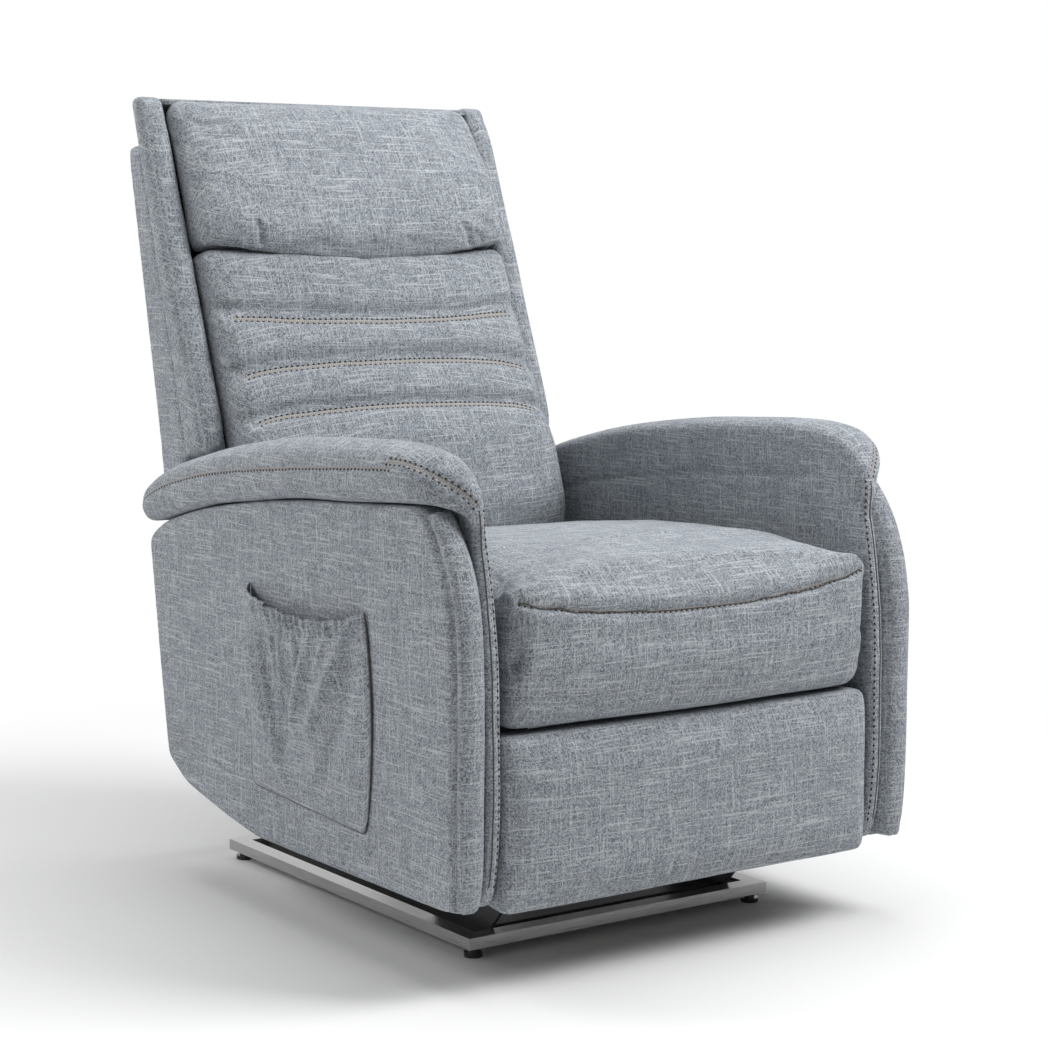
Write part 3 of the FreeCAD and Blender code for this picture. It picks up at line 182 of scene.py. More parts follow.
def evenly(curve, count, closed=False):
    """count points at equal distances along a line of points."""
    line = np.vstack([curve, curve[:1]]) if closed else np.asarray(curve, float)
    along = lengths(line)
    wanted = np.linspace(0, along[-1], count, endpoint=not closed)
    return np.column_stack([np.interp(wanted, along, line[:, k]) for k in range(line.shape[1])])


def mesh_from(name, points, faces, ends=()):
    """A mesh object from arrays of points and of equal-sided faces, and a few others."""
    mesh = bpy.data.meshes.new(name)
    faces = np.asarray(faces, int).tolist() + [list(face) for face in ends]
    mesh.from_pydata(np.asarray(points, float).tolist(), [], faces)
    mesh.polygons.foreach_set("use_smooth", np.ones(len(mesh.polygons), bool))
    mesh.update()
    item = bpy.data.objects.new(name, mesh)
    bpy.context.scene.collection.objects.link(item)
    return item


def grid_faces(rows, columns, closed=False):
    """Four-sided faces of a grid whose point number is row times columns plus column."""
    i, j = [a.ravel() for a in np.meshgrid(np.arange(rows - 1),
                                           np.arange(columns if closed else columns - 1),
                                           indexing="ij")]
    right = (j + 1) % columns
    return np.column_stack([i * columns + j, (i + 1) * columns + j,
                            (i + 1) * columns + right, i * columns + right])


def tube_mesh(name, rings):
    """A mesh object over rings of points, with one face across each end."""
    count, around = rings.shape[:2]
    ends = (range(around)[::-1], range((count - 1) * around, count * around))
    return mesh_from(name, rings.reshape(-1, 3), grid_faces(count, around, True), ends)


def lofted(name, sections, cap_rings=6):
    """A closed skin over sections of equal length, with ringed end caps.

    sections has the shape (sections, points, 3). Each cap is its end section drawn towards
    its own middle in even steps.
    """
    sections = np.asarray(sections)
    shares = np.linspace(0, 1, cap_rings + 1)[:-1, None, None]
    shares[0] = 0.02
    start, finish = (end.mean(0) + (end - end.mean(0)) * shares for end in sections[[0, -1]])
    item = tube_mesh(name, np.concatenate([start, sections, finish[::-1]]))
    item.data.calc_loop_triangles()
    tri = vertices(item)[read(item.data.loop_triangles, "vertices", 3, int)]
    if np.einsum("ij,ij->i", tri[:, 0], np.cross(tri[:, 1], tri[:, 2])).sum() < 0:
        item.data.flip_normals()
    return item


def read(group, key, wide=3, kind=float):
    """One measure of every point, corner or face as an array."""
    flat = np.zeros(len(group) * wide, kind)
    group.foreach_get(key, flat)
    return flat.reshape(-1, wide) if wide > 1 else flat


def vertices(item):
    """The item's points as an array."""
    return read(item.data.vertices, "co")


def set_vertices(item, points):
    """Moves the item's points to an array."""
    item.data.vertices.foreach_set("co", np.asarray(points, float).ravel())
    item.data.update()


def normals(item):
    """The item's outward directions at its points."""
    return read(item.data.vertices, "normal")


def worked(item, name, kind, **settings):
    """Makes the result of a modifier with these settings the item's own mesh."""
    modifier = item.modifiers.new(name, kind)
    for key, value in settings.items():
        setattr(modifier, key, value)
    with bpy.context.temp_override(object=item, active_object=item, selected_objects=[item]):
        bpy.ops.object.modifier_apply(modifier=name)


def remeshed(item, voxel, smooth):
    """Gives a closed item even faces, and rounds it over a number of passes."""
    worked(item, "Even", "REMESH", mode="VOXEL", voxel_size=voxel, use_smooth_shade=True)
    worked(item, "Round", "SMOOTH", factor=0.5, iterations=smooth)


def swollen(item, pressure=4.0, held=(0, 0, -1)):
    """Lets air pressure fill the cover, as far as the swell limit allows.

    A copy of the skin runs as cloth without weight. Each point then moves outwards by the
    outward share of the simulated step, drawn back to the limit by limit times tanh of step
    over limit. The more the skin faces sideways or the held way, the less it moves.
    """
    sizes = bpy.context.scene.recliner_sizes
    rest, facing = vertices(item), normals(item)
    cloth = item.modifiers.new("Swell", "CLOTH")
    for key, value in {"quality": 4, "mass": 0.25, "tension_stiffness": 22,
                       "compression_stiffness": 22, "shear_stiffness": 8,
                       "bending_stiffness": 1.2, "use_pressure": True,
                       "uniform_pressure_force": pressure}.items():
        setattr(cloth.settings, key, value)
    cloth.settings.effector_weights.gravity = 0
    cloth.point_cache.frame_start = 1
    cloth.point_cache.frame_end = sizes.puff_frames
    for step in range(1, sizes.puff_frames + 1):
        bpy.context.scene.frame_set(step)
    swelled = item.evaluated_get(bpy.context.evaluated_depsgraph_get())
    shift = read(swelled.data.vertices, "co") - rest
    item.modifiers.remove(cloth)
    bpy.context.scene.frame_set(1)
    out = np.maximum((shift * facing).sum(1), 0)
    free = (1 - np.abs(facing[:, 0])) * (1 - np.maximum(facing @ np.array(held), 0))
    cap = sizes.puff_cap
    set_vertices(item, rest + facing * (free * cap * np.tanh(out / cap))[:, None])


def away(points, line):
    """Distance of each point from a line of points, and the nearest one's number."""
    nearest = np.full(len(points), 1e9)
    which = np.zeros(len(points), int)
    for start in range(0, len(points), 20000):
        block = points[start:start + 20000]
        gap = np.linalg.norm(block[:, None] - line[None], axis=2)
        which[start:start + 20000] = gap.argmin(1)
        nearest[start:start + 20000] = gap.min(1)
    return nearest, which


def press(item, line, depth, width):
    """Pulls the skin in along a line of points: depth times a smooth hill of that width."""
    points = vertices(item)
    low, high = line.min(0) - 4 * width, line.max(0) + 4 * width
    near = np.where(((points > low) & (points < high)).all(1))[0]
    gap, _ = away(points[near], evenly(line, 260))
    points[near] -= normals(item)[near] * (depth * bump(gap, 0, width))[:, None]
    set_vertices(item, points)


def sunk(item, line, depth, width):
    """Presses the nearest place to a line on the item, and returns the line there."""
    line, _ = onto(item, line)
    press(item, line, depth, width)
    return line


def smoothed(line, passes):
    """A line whose bends are eased: each inner point moves to a quarter, half, quarter mean."""
    line = np.array(line, float)
    for _ in range(passes):
        line[1:-1] = (line[:-2] + 2 * line[1:-1] + line[2:]) / 4
    return line


def onto(item, line, passes=2):
    """The points of a line moved to the nearest place on an item, and outward directions."""
    tree = BVHTree.FromPolygons([tuple(p) for p in vertices(item)],
                                [tuple(face.vertices) for face in item.data.polygons])
    found = [tree.find_nearest(Vector(p)) for p in line]
    places = smoothed([hit[0] for hit in found], passes)
    facing = smoothed([hit[1] for hit in found], passes + 6)
    return places, facing / np.linalg.norm(facing, axis=1, keepdims=True)


def cloth_map(item, path=None, tilt=0.0):
    """A flat map of the cloth in metres, for the weave.

    With a path in Y and Z the cloth runs round it: across is X and along is the path's length
    at its nearest point. Elsewhere, and on faces that look sideways, each face takes the two
    coordinates it spreads in, turned about X by the tilt.
    """
    mesh, points = item.data, vertices(item)
    loops = read(mesh.loops, "vertex_index", 1, int)
    totals = read(mesh.polygons, "loop_total", 1, int)
    c, s = math.cos(tilt), math.sin(tilt)
    turn = np.array([[1, 0, 0], [0, c, s], [0, -s, c]])
    own, face = points @ turn, np.abs(read(mesh.polygons, "normal") @ turn)
    side = np.repeat(face.argmax(1), totals)[:, None]
    at = own[loops]
    flat = np.where(side == 0, at[:, [1, 2]], np.where(side == 1, at[:, [0, 2]], at[:, [0, 1]]))
    if path is not None:
        dense = evenly(path, 600)
        round_it = np.column_stack([points[:, 0], lengths(dense)[away(points[:, 1:], dense)[1]]])
        flat = np.where(np.repeat(face[:, 0] > 0.8, totals)[:, None], flat, round_it[loops])
    lay_map(mesh, flat)


def lay_map(mesh, flat):
    """Gives each face corner its place on the flat cloth."""
    layer = mesh.uv_layers.new(name="Cloth")
    layer.data.foreach_set("uv", flat.astype(np.float32).ravel())


def point_map(item, flat):
    """Gives each point its own place on the flat cloth, in metres."""
    lay_map(item.data, flat[read(item.data.loops, "vertex_index", 1, int)])


def dressed(item, body, *nodes, finish="Linen"):
    """The item takes a finish, rides on a body and stands for CAD nodes."""
    item.data.materials.clear()
    item.data.materials.append(bpy.data.materials[finish])
    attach(item, body)
    if nodes:
        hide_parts(*nodes)


def at_x(x, outline):
    """An outline in Y and Z as points at a constant X, or at an X for each."""
    return np.column_stack([np.broadcast_to(x, len(outline)), outline])


def points_of(x, y, z):
    """Points from three coordinates, each an array or one value for all."""
    return np.column_stack(np.broadcast_arrays(x, y, z))


def on_back(rise, out):
    """Y and Z of places rise along the back's slope and out in front of it."""
    c, s = math.cos(BACK_TILT), math.sin(BACK_TILT)
    return np.stack([BACK_REF[0] + rise * s - out * c, BACK_REF[1] + rise * c + out * s], -1)


def back_outline(table):
    """Corners given by rise, distance out and radius as corners in Y and Z."""
    rise, out, radius = np.array(table).T
    return np.column_stack([on_back(rise, out), radius])


# ------------------------------------------------------------------ materials

class Nodes:
    """Short ways to add and join the shader nodes of a material or a world."""

    def __init__(self, name, kind="Material", shader="ShaderNodeBsdfPrincipled"):
        group = bpy.data.worlds if kind == "World" else bpy.data.materials
        self.owner = group.get(name) or group.new(name)
        self.owner.use_nodes = True
        self.tree = self.owner.node_tree
        self.tree.nodes.clear()
        self.surface = self.add(f"ShaderNodeOutput{kind}").inputs["Surface"]
        self.shader = self.add(shader)
        self.give(self.surface, self.shader.outputs[0])

    def add(self, kind, inputs=None, **values):
        """A node with its properties set, and its inputs joined or given."""
        node = self.tree.nodes.new(kind)
        for key, value in values.items():
            setattr(node, key, value)
        for key, value in (inputs or {}).items():
            self.give(node.inputs[key], value)
        return node

    def give(self, socket, value):
        """A link if the value is an output, or else a constant."""
        if isinstance(value, bpy.types.NodeSocket):
            self.tree.links.new(value, socket)
        elif socket.type == "RGBA":
            socket.default_value = (*value[:3], 1)
        else:
            socket.default_value = value

    def math(self, operation, first, second=0.0, third=0.0):
        """One arithmetic step."""
        return self.add("ShaderNodeMath", {0: first, 1: second, 2: third},
                        operation=operation).outputs[0]

    def mix(self, share, first, second):
        """A colour between two others."""
        return self.add("ShaderNodeMix", {"Factor": share, "A": first, "B": second},
                        data_type="RGBA").outputs["Result"]

    def step(self, value, low, high, to_low=0.0, to_high=1.0):
        """A smooth rise of a value between two limits."""
        return self.add("ShaderNodeMapRange",
                        {"Value": value, "From Min": low, "From Max": high,
                         "To Min": to_low, "To Max": to_high},
                        interpolation_type="SMOOTHSTEP").outputs["Result"]

    def vector(self, x, y, z=0.0):
        """Three values as one vector."""
        return self.add("ShaderNodeCombineXYZ", {0: x, 1: y, 2: z}).outputs[0]

    def place(self, scale=None):
        """The object's own coordinates, or these times a scale for each axis."""
        own = self.add("ShaderNodeTexCoord").outputs["Object"]
        if scale is None:
            return own
        return self.add("ShaderNodeMapping", {"Vector": own, "Scale": scale}).outputs[0]

    def noise(self, vector, scale=1.0, detail=2.0, rough=0.5, output="Fac"):
        """A cloudy value between 0 and 1, or a cloudy colour."""
        return self.add("ShaderNodeTexNoise", {"Vector": vector, "Scale": scale,
                                               "Detail": detail, "Roughness": rough}
                        ).outputs[output]

    def relief(self, height, strength, distance):
        """Height as a slope of the surface."""
        bump = self.add("ShaderNodeBump", {"Strength": strength, "Distance": distance,
                                           "Height": height})
        self.shade(Normal=bump.outputs["Normal"])

    def shade(self, **values):
        """Joins or sets the shader's own sockets, and returns the material."""
        for key, value in values.items():
            self.give(self.shader.inputs[key.replace("_", " ")], value)
        return self.owner

    def blend(self, share, first, second):
        """The surface as a share of two shaders."""
        mixed = self.add("ShaderNodeMixShader", {0: share, 1: first.outputs[0],
                                                 2: second.outputs[0]})
        self.give(self.surface, mixed.outputs[0])

    def seen(self):
        """1 on rays from the camera, in mirrors and through glass, or else 0."""
        path = self.add("ShaderNodeLightPath").outputs
        plainly = self.math("MAXIMUM", path["Is Camera Ray"], path["Is Glossy Ray"])
        return self.math("MAXIMUM", plainly, path["Is Transmission Ray"])


def linen():
    """Slate grey cloth in plain weave with pale slub yarns.

    The cloth map, bent a little by a slow noise, is counted in yarns. Each crossing takes a
    random tone from its two whole numbers. Along a yarn the tone follows a stretched noise that
    the yarn's number shifts, and where it is high the yarn turns pale: a thin, broken line.
    """
    sizes, colours = bpy.context.scene.recliner_sizes, bpy.context.scene.recliner_colours
    dark, middle, light = (tuple(colour) for colour in
                           (colours.cloth_dark, colours.cloth, colours.cloth_light))
    nodes = Nodes("Linen")
    flat = nodes.add("ShaderNodeUVMap", uv_map="Cloth").outputs["UV"]
    drift = nodes.noise(flat, 7.0, output="Color")
    bent = nodes.add("ShaderNodeVectorMath", {0: drift, 1: (0.009, 0.009, 0), 2: flat},
                     operation="MULTIPLY_ADD")
    split = nodes.add("ShaderNodeSeparateXYZ", {0: bent.outputs[0]})
    u, v = (nodes.math("MULTIPLY", split.outputs[k], 1 / sizes.weave) for k in ("X", "Y"))
    column, row = nodes.math("FLOOR", u), nodes.math("FLOOR", v)
    crossing = nodes.add("ShaderNodeTexWhiteNoise", {"Vector": nodes.vector(column, row)},
                         noise_dimensions="2D").outputs["Value"]
    yarn, slub = [], []
    for along, number, stretch, start in (("X", row, 19, 0.0), ("Y", column, 27, 9.0)):
        place = nodes.vector(nodes.math("MULTIPLY", split.outputs[along], stretch),
                             nodes.math("MULTIPLY", number, 3.73), start)
        tone = nodes.noise(place, 1.0, 0.0)
        yarn.append(nodes.math("SUBTRACT", tone, 0.5))
        slub.append(nodes.step(tone, 0.650, 0.695))
    level = nodes.math("MULTIPLY_ADD", crossing, 0.64, -0.32)
    level = nodes.math("MULTIPLY_ADD", yarn[0], 0.34, level)
    level = nodes.math("MULTIPLY_ADD", yarn[1], 0.28, level)
    slubs = nodes.math("MAXIMUM", slub[0], nodes.math("MULTIPLY", slub[1], 0.8))
    tone = nodes.mix(nodes.step(level, -0.42, 0.06), dark, middle)
    tone = nodes.mix(nodes.step(level, 0.0, 0.50, 0.0, 0.75), tone, light)
    tone = nodes.mix(nodes.math("MULTIPLY", slubs, 0.36), tone, light)
    tone = nodes.mix(nodes.step(nodes.noise(flat, 9.0), 0.35, 0.7, 0.0, 0.10), tone, dark)
    rise = [nodes.math("ABSOLUTE", nodes.math("SINE", nodes.math("MULTIPLY", way, math.pi)))
            for way in (u, v)]
    height = nodes.math("MULTIPLY", rise[0], rise[1])
    height = nodes.math("MULTIPLY_ADD", slubs, 0.6, height)
    height = nodes.math("MULTIPLY_ADD", crossing, 0.4, height)
    nodes.relief(height, 0.45, 0.0005)
    return nodes.shade(Base_Color=tone, Roughness=0.94, Metallic=0.0, Sheen_Weight=0.08,
                       Sheen_Roughness=0.5, Specular_IOR_Level=0.2)


def times(colour, factor):
    """A colour made darker or lighter, as far as white."""
    return tuple(min(1, value * factor) for value in colour)


def tape(colour):
    """Woven seam tape: fine ribs across, as a sine of the length along it."""
    nodes = Nodes("Seam tape")
    flat = nodes.add("ShaderNodeUVMap", uv_map="Cloth").outputs["UV"]
    split = nodes.add("ShaderNodeSeparateXYZ", {0: flat})
    ribs = nodes.math("SINE", nodes.math("MULTIPLY", split.outputs["X"], 2 * math.pi / 0.0034))
    ribs = nodes.math("ADD", ribs, nodes.noise(flat, 900.0, 1.0))
    nodes.relief(ribs, 0.4, 0.0004)
    return nodes.shade(Base_Color=nodes.mix(nodes.step(ribs, -0.4, 1.2), times(colour, 0.62),
                                            colour), Roughness=0.9, Metallic=0.0)


def plain(name, colour, roughness, metallic=0.0, grain=0.0):
    """A finish with slight variation of tone and gloss over the object's own coordinates."""
    nodes = Nodes(name)
    cloud = nodes.noise(nodes.place((400, 400, 400)), 1.0, 3.0)
    tone = nodes.mix(nodes.step(cloud, 0.3, 0.7), times(colour, 0.72), times(colour, 1.12))
    gloss = nodes.step(cloud, 0.3, 0.7, roughness * 0.85, min(1, roughness * 1.15))
    if grain:
        nodes.relief(cloud, grain, 0.0004)
    nodes.shade(Base_Color=tone, Roughness=gloss)
    return nodes.shade(Roughness=roughness, Metallic=metallic)


def brushed(name, colour, roughness, along):
    """Steel with fine brush lines along one direction."""
    nodes = Nodes(name)
    scale = [2600.0, 2600.0, 2600.0]
    scale[along] = 18.0
    lines = nodes.noise(nodes.place(scale), 1.0, 3.0, 0.6)
    wear = nodes.noise(nodes.place(), 22.0, 3.0)
    tone = nodes.mix(nodes.step(lines, 0.25, 0.75), times(colour, 0.78), times(colour, 1.12))
    tone = nodes.mix(nodes.step(wear, 0.55, 0.8, 0.0, 0.18), tone, times(colour, 0.7))
    nodes.relief(lines, 0.25, 0.0002)
    nodes.shade(Base_Color=tone,
                Roughness=nodes.step(lines, 0.2, 0.8, roughness * 0.8, roughness * 1.3))
    return nodes.shade(Roughness=roughness, Metallic=1.0)


def grained(name, colour, dark, scale, detail, rough, relief, roughness):
    """Lines of lighter and darker tone: a strap's ribs, or long grain with fine pores."""
    nodes = Nodes(name)
    lines = nodes.noise(nodes.place(scale), 1.0, detail, rough)
    nodes.relief(lines, *relief)
    tone = nodes.mix(nodes.step(lines, 0.3, 0.7), times(colour, dark), colour)
    return nodes.shade(Base_Color=tone, Roughness=roughness, Metallic=0.0)


# ------------------------------------------------------------------ sewing

def capsule_rows(name, places, along, facing, radius, body, finish):
    """Small threads, one at each place: a six-sided capsule lying along the seam.

    The outline's radius at a share t of its length is the root of 1 minus (2t - 1) to the
    fourth power, and all threads are one mesh.
    """
    t = np.array([0.0, 0.12, 0.35, 0.65, 0.88, 1.0])
    ring = np.linspace(0, 2 * math.pi, 6, endpoint=False)
    wide = radius * np.sqrt(np.clip(1 - (2 * t - 1) ** 4, 0.04, 1))
    side = np.cross(facing, along)
    length = bpy.context.scene.recliner_sizes.stitch_pitch * STITCH_SHARE
    one = np.stack([((t - 0.5) * length)[:, None].repeat(6, 1),
                    wide[:, None] * np.cos(ring), wide[:, None] * np.sin(ring) * 0.8], -1)
    one = one.reshape(-1, 3)
    points = (places[:, None] + one[None, :, 0:1] * along[:, None]
              + one[None, :, 1:2] * side[:, None] + one[None, :, 2:3] * facing[:, None])
    faces = grid_faces(6, 6, True)
    faces = (faces[None] + 36 * np.arange(len(places))[:, None, None]).reshape(-1, 4)
    dressed(mesh_from(name, points.reshape(-1, 3), faces), body, finish=finish)


def ribbon(name, middle, facing, across, half, body):
    """A narrow strip along a line, slightly crowned, lying a little above the surface."""
    shares = np.array([-1.0, -0.8, 0.0, 0.8, 1.0])
    high = 0.0005 * (1 - shares ** 4) - 0.0004 * (np.abs(shares) > 0.9)
    points = (middle[:, None] + across[:, None] * (shares * half)[None, :, None]
              + facing[:, None] * high[None, :, None])
    item = mesh_from(name, points.reshape(-1, 3), grid_faces(len(middle), 5))
    point_map(item, np.column_stack([np.repeat(lengths(middle), 5),
                                     np.tile(shares * half, len(middle))]))
    dressed(item, body, finish="Seam tape")


def directions(places, facing):
    """Unit directions along a line of places, square to the outward directions."""
    along = np.gradient(places, axis=0)
    along -= facing * (along * facing).sum(1, keepdims=True)
    return along / np.maximum(np.linalg.norm(along, axis=1, keepdims=True), 1e-9)


def seam_shade_line(name, item, line, body):
    """A thin dark cord half sunk in the surface where two cloths meet: painted shade of the seam's
    groove.
    """
    places, _ = onto(item, smoothed(evenly(line, 160), 6), 8)
    dressed(cord_mesh(name, places, 0.0010, 6), body, finish="Seam shade cord")


def sewn(name, item, line, body, rows=(-1, 1), band=(-1, 1), hole_shades=True):
    """Rows of stitches beside a line on an item, dark marks of painted shade in the needle hole of
    each stitch, and the band between.

    rows and the band's two edges are counted in half row gaps from the line.
    """
    sizes = bpy.context.scene.recliner_sizes
    half, thread = sizes.row_gap / 2, sizes.thread
    count = max(4, int(lengths(line)[-1] / sizes.stitch_pitch))
    middle, facing = onto(item, smoothed(evenly(line, count * 2 + 1), 4), 6)
    across = smoothed(np.cross(facing, directions(middle, facing)), 8)
    for number, shift in enumerate(rows):
        row, up = onto(item, middle + across * shift * half, 5)
        run = directions(row, up)
        # The second kind puts a dark capsule between the threads: painted shade of the needle hole.
        kinds = [("row", 1 - number % 2, 1, 1, "Thread"),
                 ("hole_shades", number % 2, -1, 1.75, "Needle hole shade")]
        for kind, first, lift, wide, finish in kinds[:2 if hole_shades else 1]:
            at = slice(first, None, 2)
            capsule_rows(f"{name}_{kind}_{number}", row[at] + up[at] * thread * 0.2 * lift,
                         run[at], up[at], thread * wide, body, finish)
    if band:
        low, high = band
        centre, up = onto(item, middle + across * (low + high) / 2 * half)
        ribbon(f"{name}_band", centre, up, across, (high - low) / 2 * half * BAND_SHARE, body)


# ------------------------------------------------------------------ cushions

def cushion(name, profile, half, edge, grid, smooth, *swell):
    """A closed skin from outlines in Y and Z that change along X, swollen and made fine.

    At both sides the outline shrinks as it follows a round edge.
    """
    sections = []
    for share in np.sin(np.linspace(-1, 1, 61) * math.pi / 2):
        outline = rounded_loop(profile(share))
        past = (abs(share) - 1) * half + edge
        sections.append(at_x(share * half, inset(outline, rounding(edge, past))))
    item = lofted(name, sections)
    remeshed(item, bpy.context.scene.recliner_sizes.voxel * grid, smooth)
    swollen(item, *swell)
    worked(item, "Finer", "SUBSURF", levels=1, render_levels=1)
    return item


def inset(outline, depth):
    """A closed outline moved inwards by a distance along its own sideways directions."""
    along = np.roll(outline, -1, 0) - np.roll(outline, 1, 0)
    along /= np.maximum(np.linalg.norm(along, axis=1, keepdims=True), 1e-9)
    sideways = np.column_stack([-along[:, 1], along[:, 0]])
    x, y = outline.T
    turning = (x * np.roll(y, -1) - y * np.roll(x, -1)).sum()
    return outline + sideways * depth * (1 if turning > 0 else -1)


def seat_profile(share):
    """Seat outline at a share of the half width: crowned top, front seam, roll, hidden base."""
    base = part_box("seat_webbing")[1].z + 0.0006
    nose_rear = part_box("seat_front_rail")[0].y - 0.006
    front, rear, crown, low = -0.499, 0.102, 0.5105, 0.3145
    drop = 0.024 * share ** 12 + 0.003 * share ** 2
    back = 0.010 * share ** 4
    here = seat_seam(share)
    return [(rear, base, 0.012), (rear, crown - 0.03 - drop * 0.4, 0.03),
            (between(front, rear, 0.66), crown - 0.009 - drop * 0.6, 0.2),
            (between(front, rear, 0.28), crown - drop, 0.12),
            (between(front, rear, 0.08), crown - 0.012 - drop, 0.05),
            (front + 0.004 + back, here + 0.014, 0.020),
            (front + 0.005 + back, here, 0.004),
            (front + back, here - 0.014, 0.012),
            (front - 0.001 + back, between(here, low, 0.5), 0.06),
            (front + 0.014 + back, low, 0.034),
            (nose_rear, low + 0.003, 0.012), (nose_rear, base, 0.003)]


def seat_seam(share):
    """Height of the seat's front seam: it rises to both sides."""
    return 0.451 + 0.029 * share ** 2


def make_seat():
    """The seat cushion: swollen, with a seam across its front and a lighter one on its top."""
    item = cushion("seat_cushion_cloth", seat_profile, SEAT_HALF, 0.020, 1.0, 2)
    x = np.linspace(-0.278, 0.278, 120)
    seam = sunk(item, points_of(x, -0.515, seat_seam(x / SEAT_HALF)),
                bpy.context.scene.recliner_sizes.groove * 1.4, 0.0045)
    for s in (-1, 1):
        tuck = evenly([(s * 0.2830, -0.500, 0.452), (s * 0.2830, -0.497, 0.425),
                       (s * 0.2830, -0.485, 0.400)], 20)
        press(item, tuck, 0.017 if s < 0 else 0.005, 0.015)
    x = np.linspace(-0.262, 0.262, 120)
    top = sunk(item, points_of(x, -0.292 - 0.050 * (x / SEAT_HALF) ** 2, 0.53), 0.0030, 0.006)
    for s in (-1, 1):
        sunk(item, points_of(s * 0.2775, np.linspace(-0.40, 0.09, 90), 0.478), 0.0035, 0.005)
        for low, high in ((0.438, 0.425), (0.395, 0.398), (0.350, 0.342)):
            crease = ((s * 0.279, -0.492, low), (s * 0.262, -0.502, between(low, high, 0.6)),
                      (s * 0.240, -0.506, high))
            sunk(item, evenly(crease, 24), 0.0014, 0.006)
    wrinkle(item, 0.0016, 5)
    cloth_map(item, rounded_loop(seat_profile(0.0)))
    dressed(item, "chair", "seat_cushion")
    near = seam[(np.abs(seam[:, 0]) < 0.275)]
    # Dark cord along the front seam: painted shade of its groove.
    seam_shade_line("seat_seam_shade_line", item, near, "chair")
    sewn("seat_seam", item, near + np.array([0, 0, 0.0012]), "chair", rows=(-1.75,),
         band=(-1.3, -0.2))
    sewn("seat_top_seam", item, top, "chair", rows=(0.0,), band=None)


def wrinkle(item, depth, seed):
    """Slight waves of a filled cover: a sum of four sines of different lengths and ways."""
    rng = np.random.default_rng(seed)
    points = vertices(item)
    wave = np.zeros(len(points))
    for length in (0.34, 0.21, 0.13, 0.09):
        way = rng.normal(size=3)
        way /= np.linalg.norm(way)
        wave += np.sin(points @ way * 2 * math.pi / length + rng.uniform(0, 6.28)) * length
    wave /= np.abs(wave).max()
    set_vertices(item, points + normals(item) * (wave * depth)[:, None])


def back_profile(share):
    """Back cushion outline at a share of the half width: a full lower part and three bands."""
    rear, bottom, top = -0.029, -0.185, 0.282 + 0.009 * share ** 2
    low, middle, high = back_rows(share)
    crown = 0.024 * (1 - share ** 2)
    table = [(bottom, rear, 0.006), (bottom + 0.004, 0.028 + crown, 0.024),
             (bottom + 0.06, 0.050 + crown, 0.06), (low - 0.055, 0.053 + crown, 0.06),
             (low - 0.012, 0.045 + crown, 0.014), (low, 0.034 + crown, 0.004),
             (low + 0.014, 0.042 + crown, 0.016), (middle - 0.014, 0.034 + crown, 0.016),
             (middle, 0.023 + crown, 0.004), (middle + 0.014, 0.032 + crown, 0.016),
             (high - 0.014, 0.026 + crown, 0.016), (high, 0.015 + crown, 0.004),
             (high + 0.014, 0.025 + crown, 0.016), (top - 0.022, 0.021 + crown, 0.02),
             (top - 0.003, rear + 0.040 + crown * 0.6, 0.012), (top, rear, 0.006)]
    return back_outline(table)


def back_rows(share):
    """Rise of the three sewn rows at a share of the half width."""
    return (0.0330 - 0.015 * share ** 6, 0.107 - 0.013 * share ** 6,
            0.173 + 0.020 * share ** 2)


def make_back():
    """The back cushion with three double seams across."""
    item = cushion("back_cushion_cloth", back_profile, BACK_HALF, 0.016, 1.0, 3)
    share = np.linspace(-0.948, 0.948, 140)
    crown = 0.024 * (1 - share ** 2)
    groove = bpy.context.scene.recliner_sizes.groove * 1.5
    lines = [sunk(item, at_x(share * BACK_HALF, on_back(rise, 0.06 + crown)), groove, 0.010)
             for rise in back_rows(share)]
    wrinkle(item, 0.0014, 8)
    cloth_map(item, tilt=-BACK_TILT)
    dressed(item, "backrest", "back_cushion")
    for number, line in enumerate(lines):
        sewn(f"back_seam_{number}", item, line, "backrest")
    edge, _ = onto(item, at_x(-0.2485, on_back(np.linspace(-0.02, 0.262, 80), 0.05)))
    sewn("back_edge_seam", item, edge, "backrest", rows=(0.0,), band=None, hole_shades=False)


def pillow_profile(share):
    """Headrest outline at a share of the half width: its full front hangs over its foot."""
    rear, top, puff = -0.029, 0.528, 0.038
    low = 0.2835 + 0.0105 * share ** 2
    lip = 0.2560 + 0.036 * share ** 2
    full = puff * (0.52 + 0.48 * (1 - share ** 4))
    top -= 0.024 * (1 - math.sqrt(1 - min(1, max(0, abs(share) - 0.90) / 0.10) ** 2))
    table = [(low, rear, 0.004), (low, 0.022, 0.008), (lip, full * 0.75, 0.010),
             (lip + 0.006, full + 0.010, 0.018), (lip + 0.040, full + 0.016, 0.05),
             (lip + 0.115, full + 0.010, 0.07), (top - 0.062, full * 0.78, 0.06),
             (top - 0.016, full * 0.22, 0.03), (top - 0.001, -0.012, 0.014),
             (top - 0.005, rear, 0.008)]
    return back_outline(table)


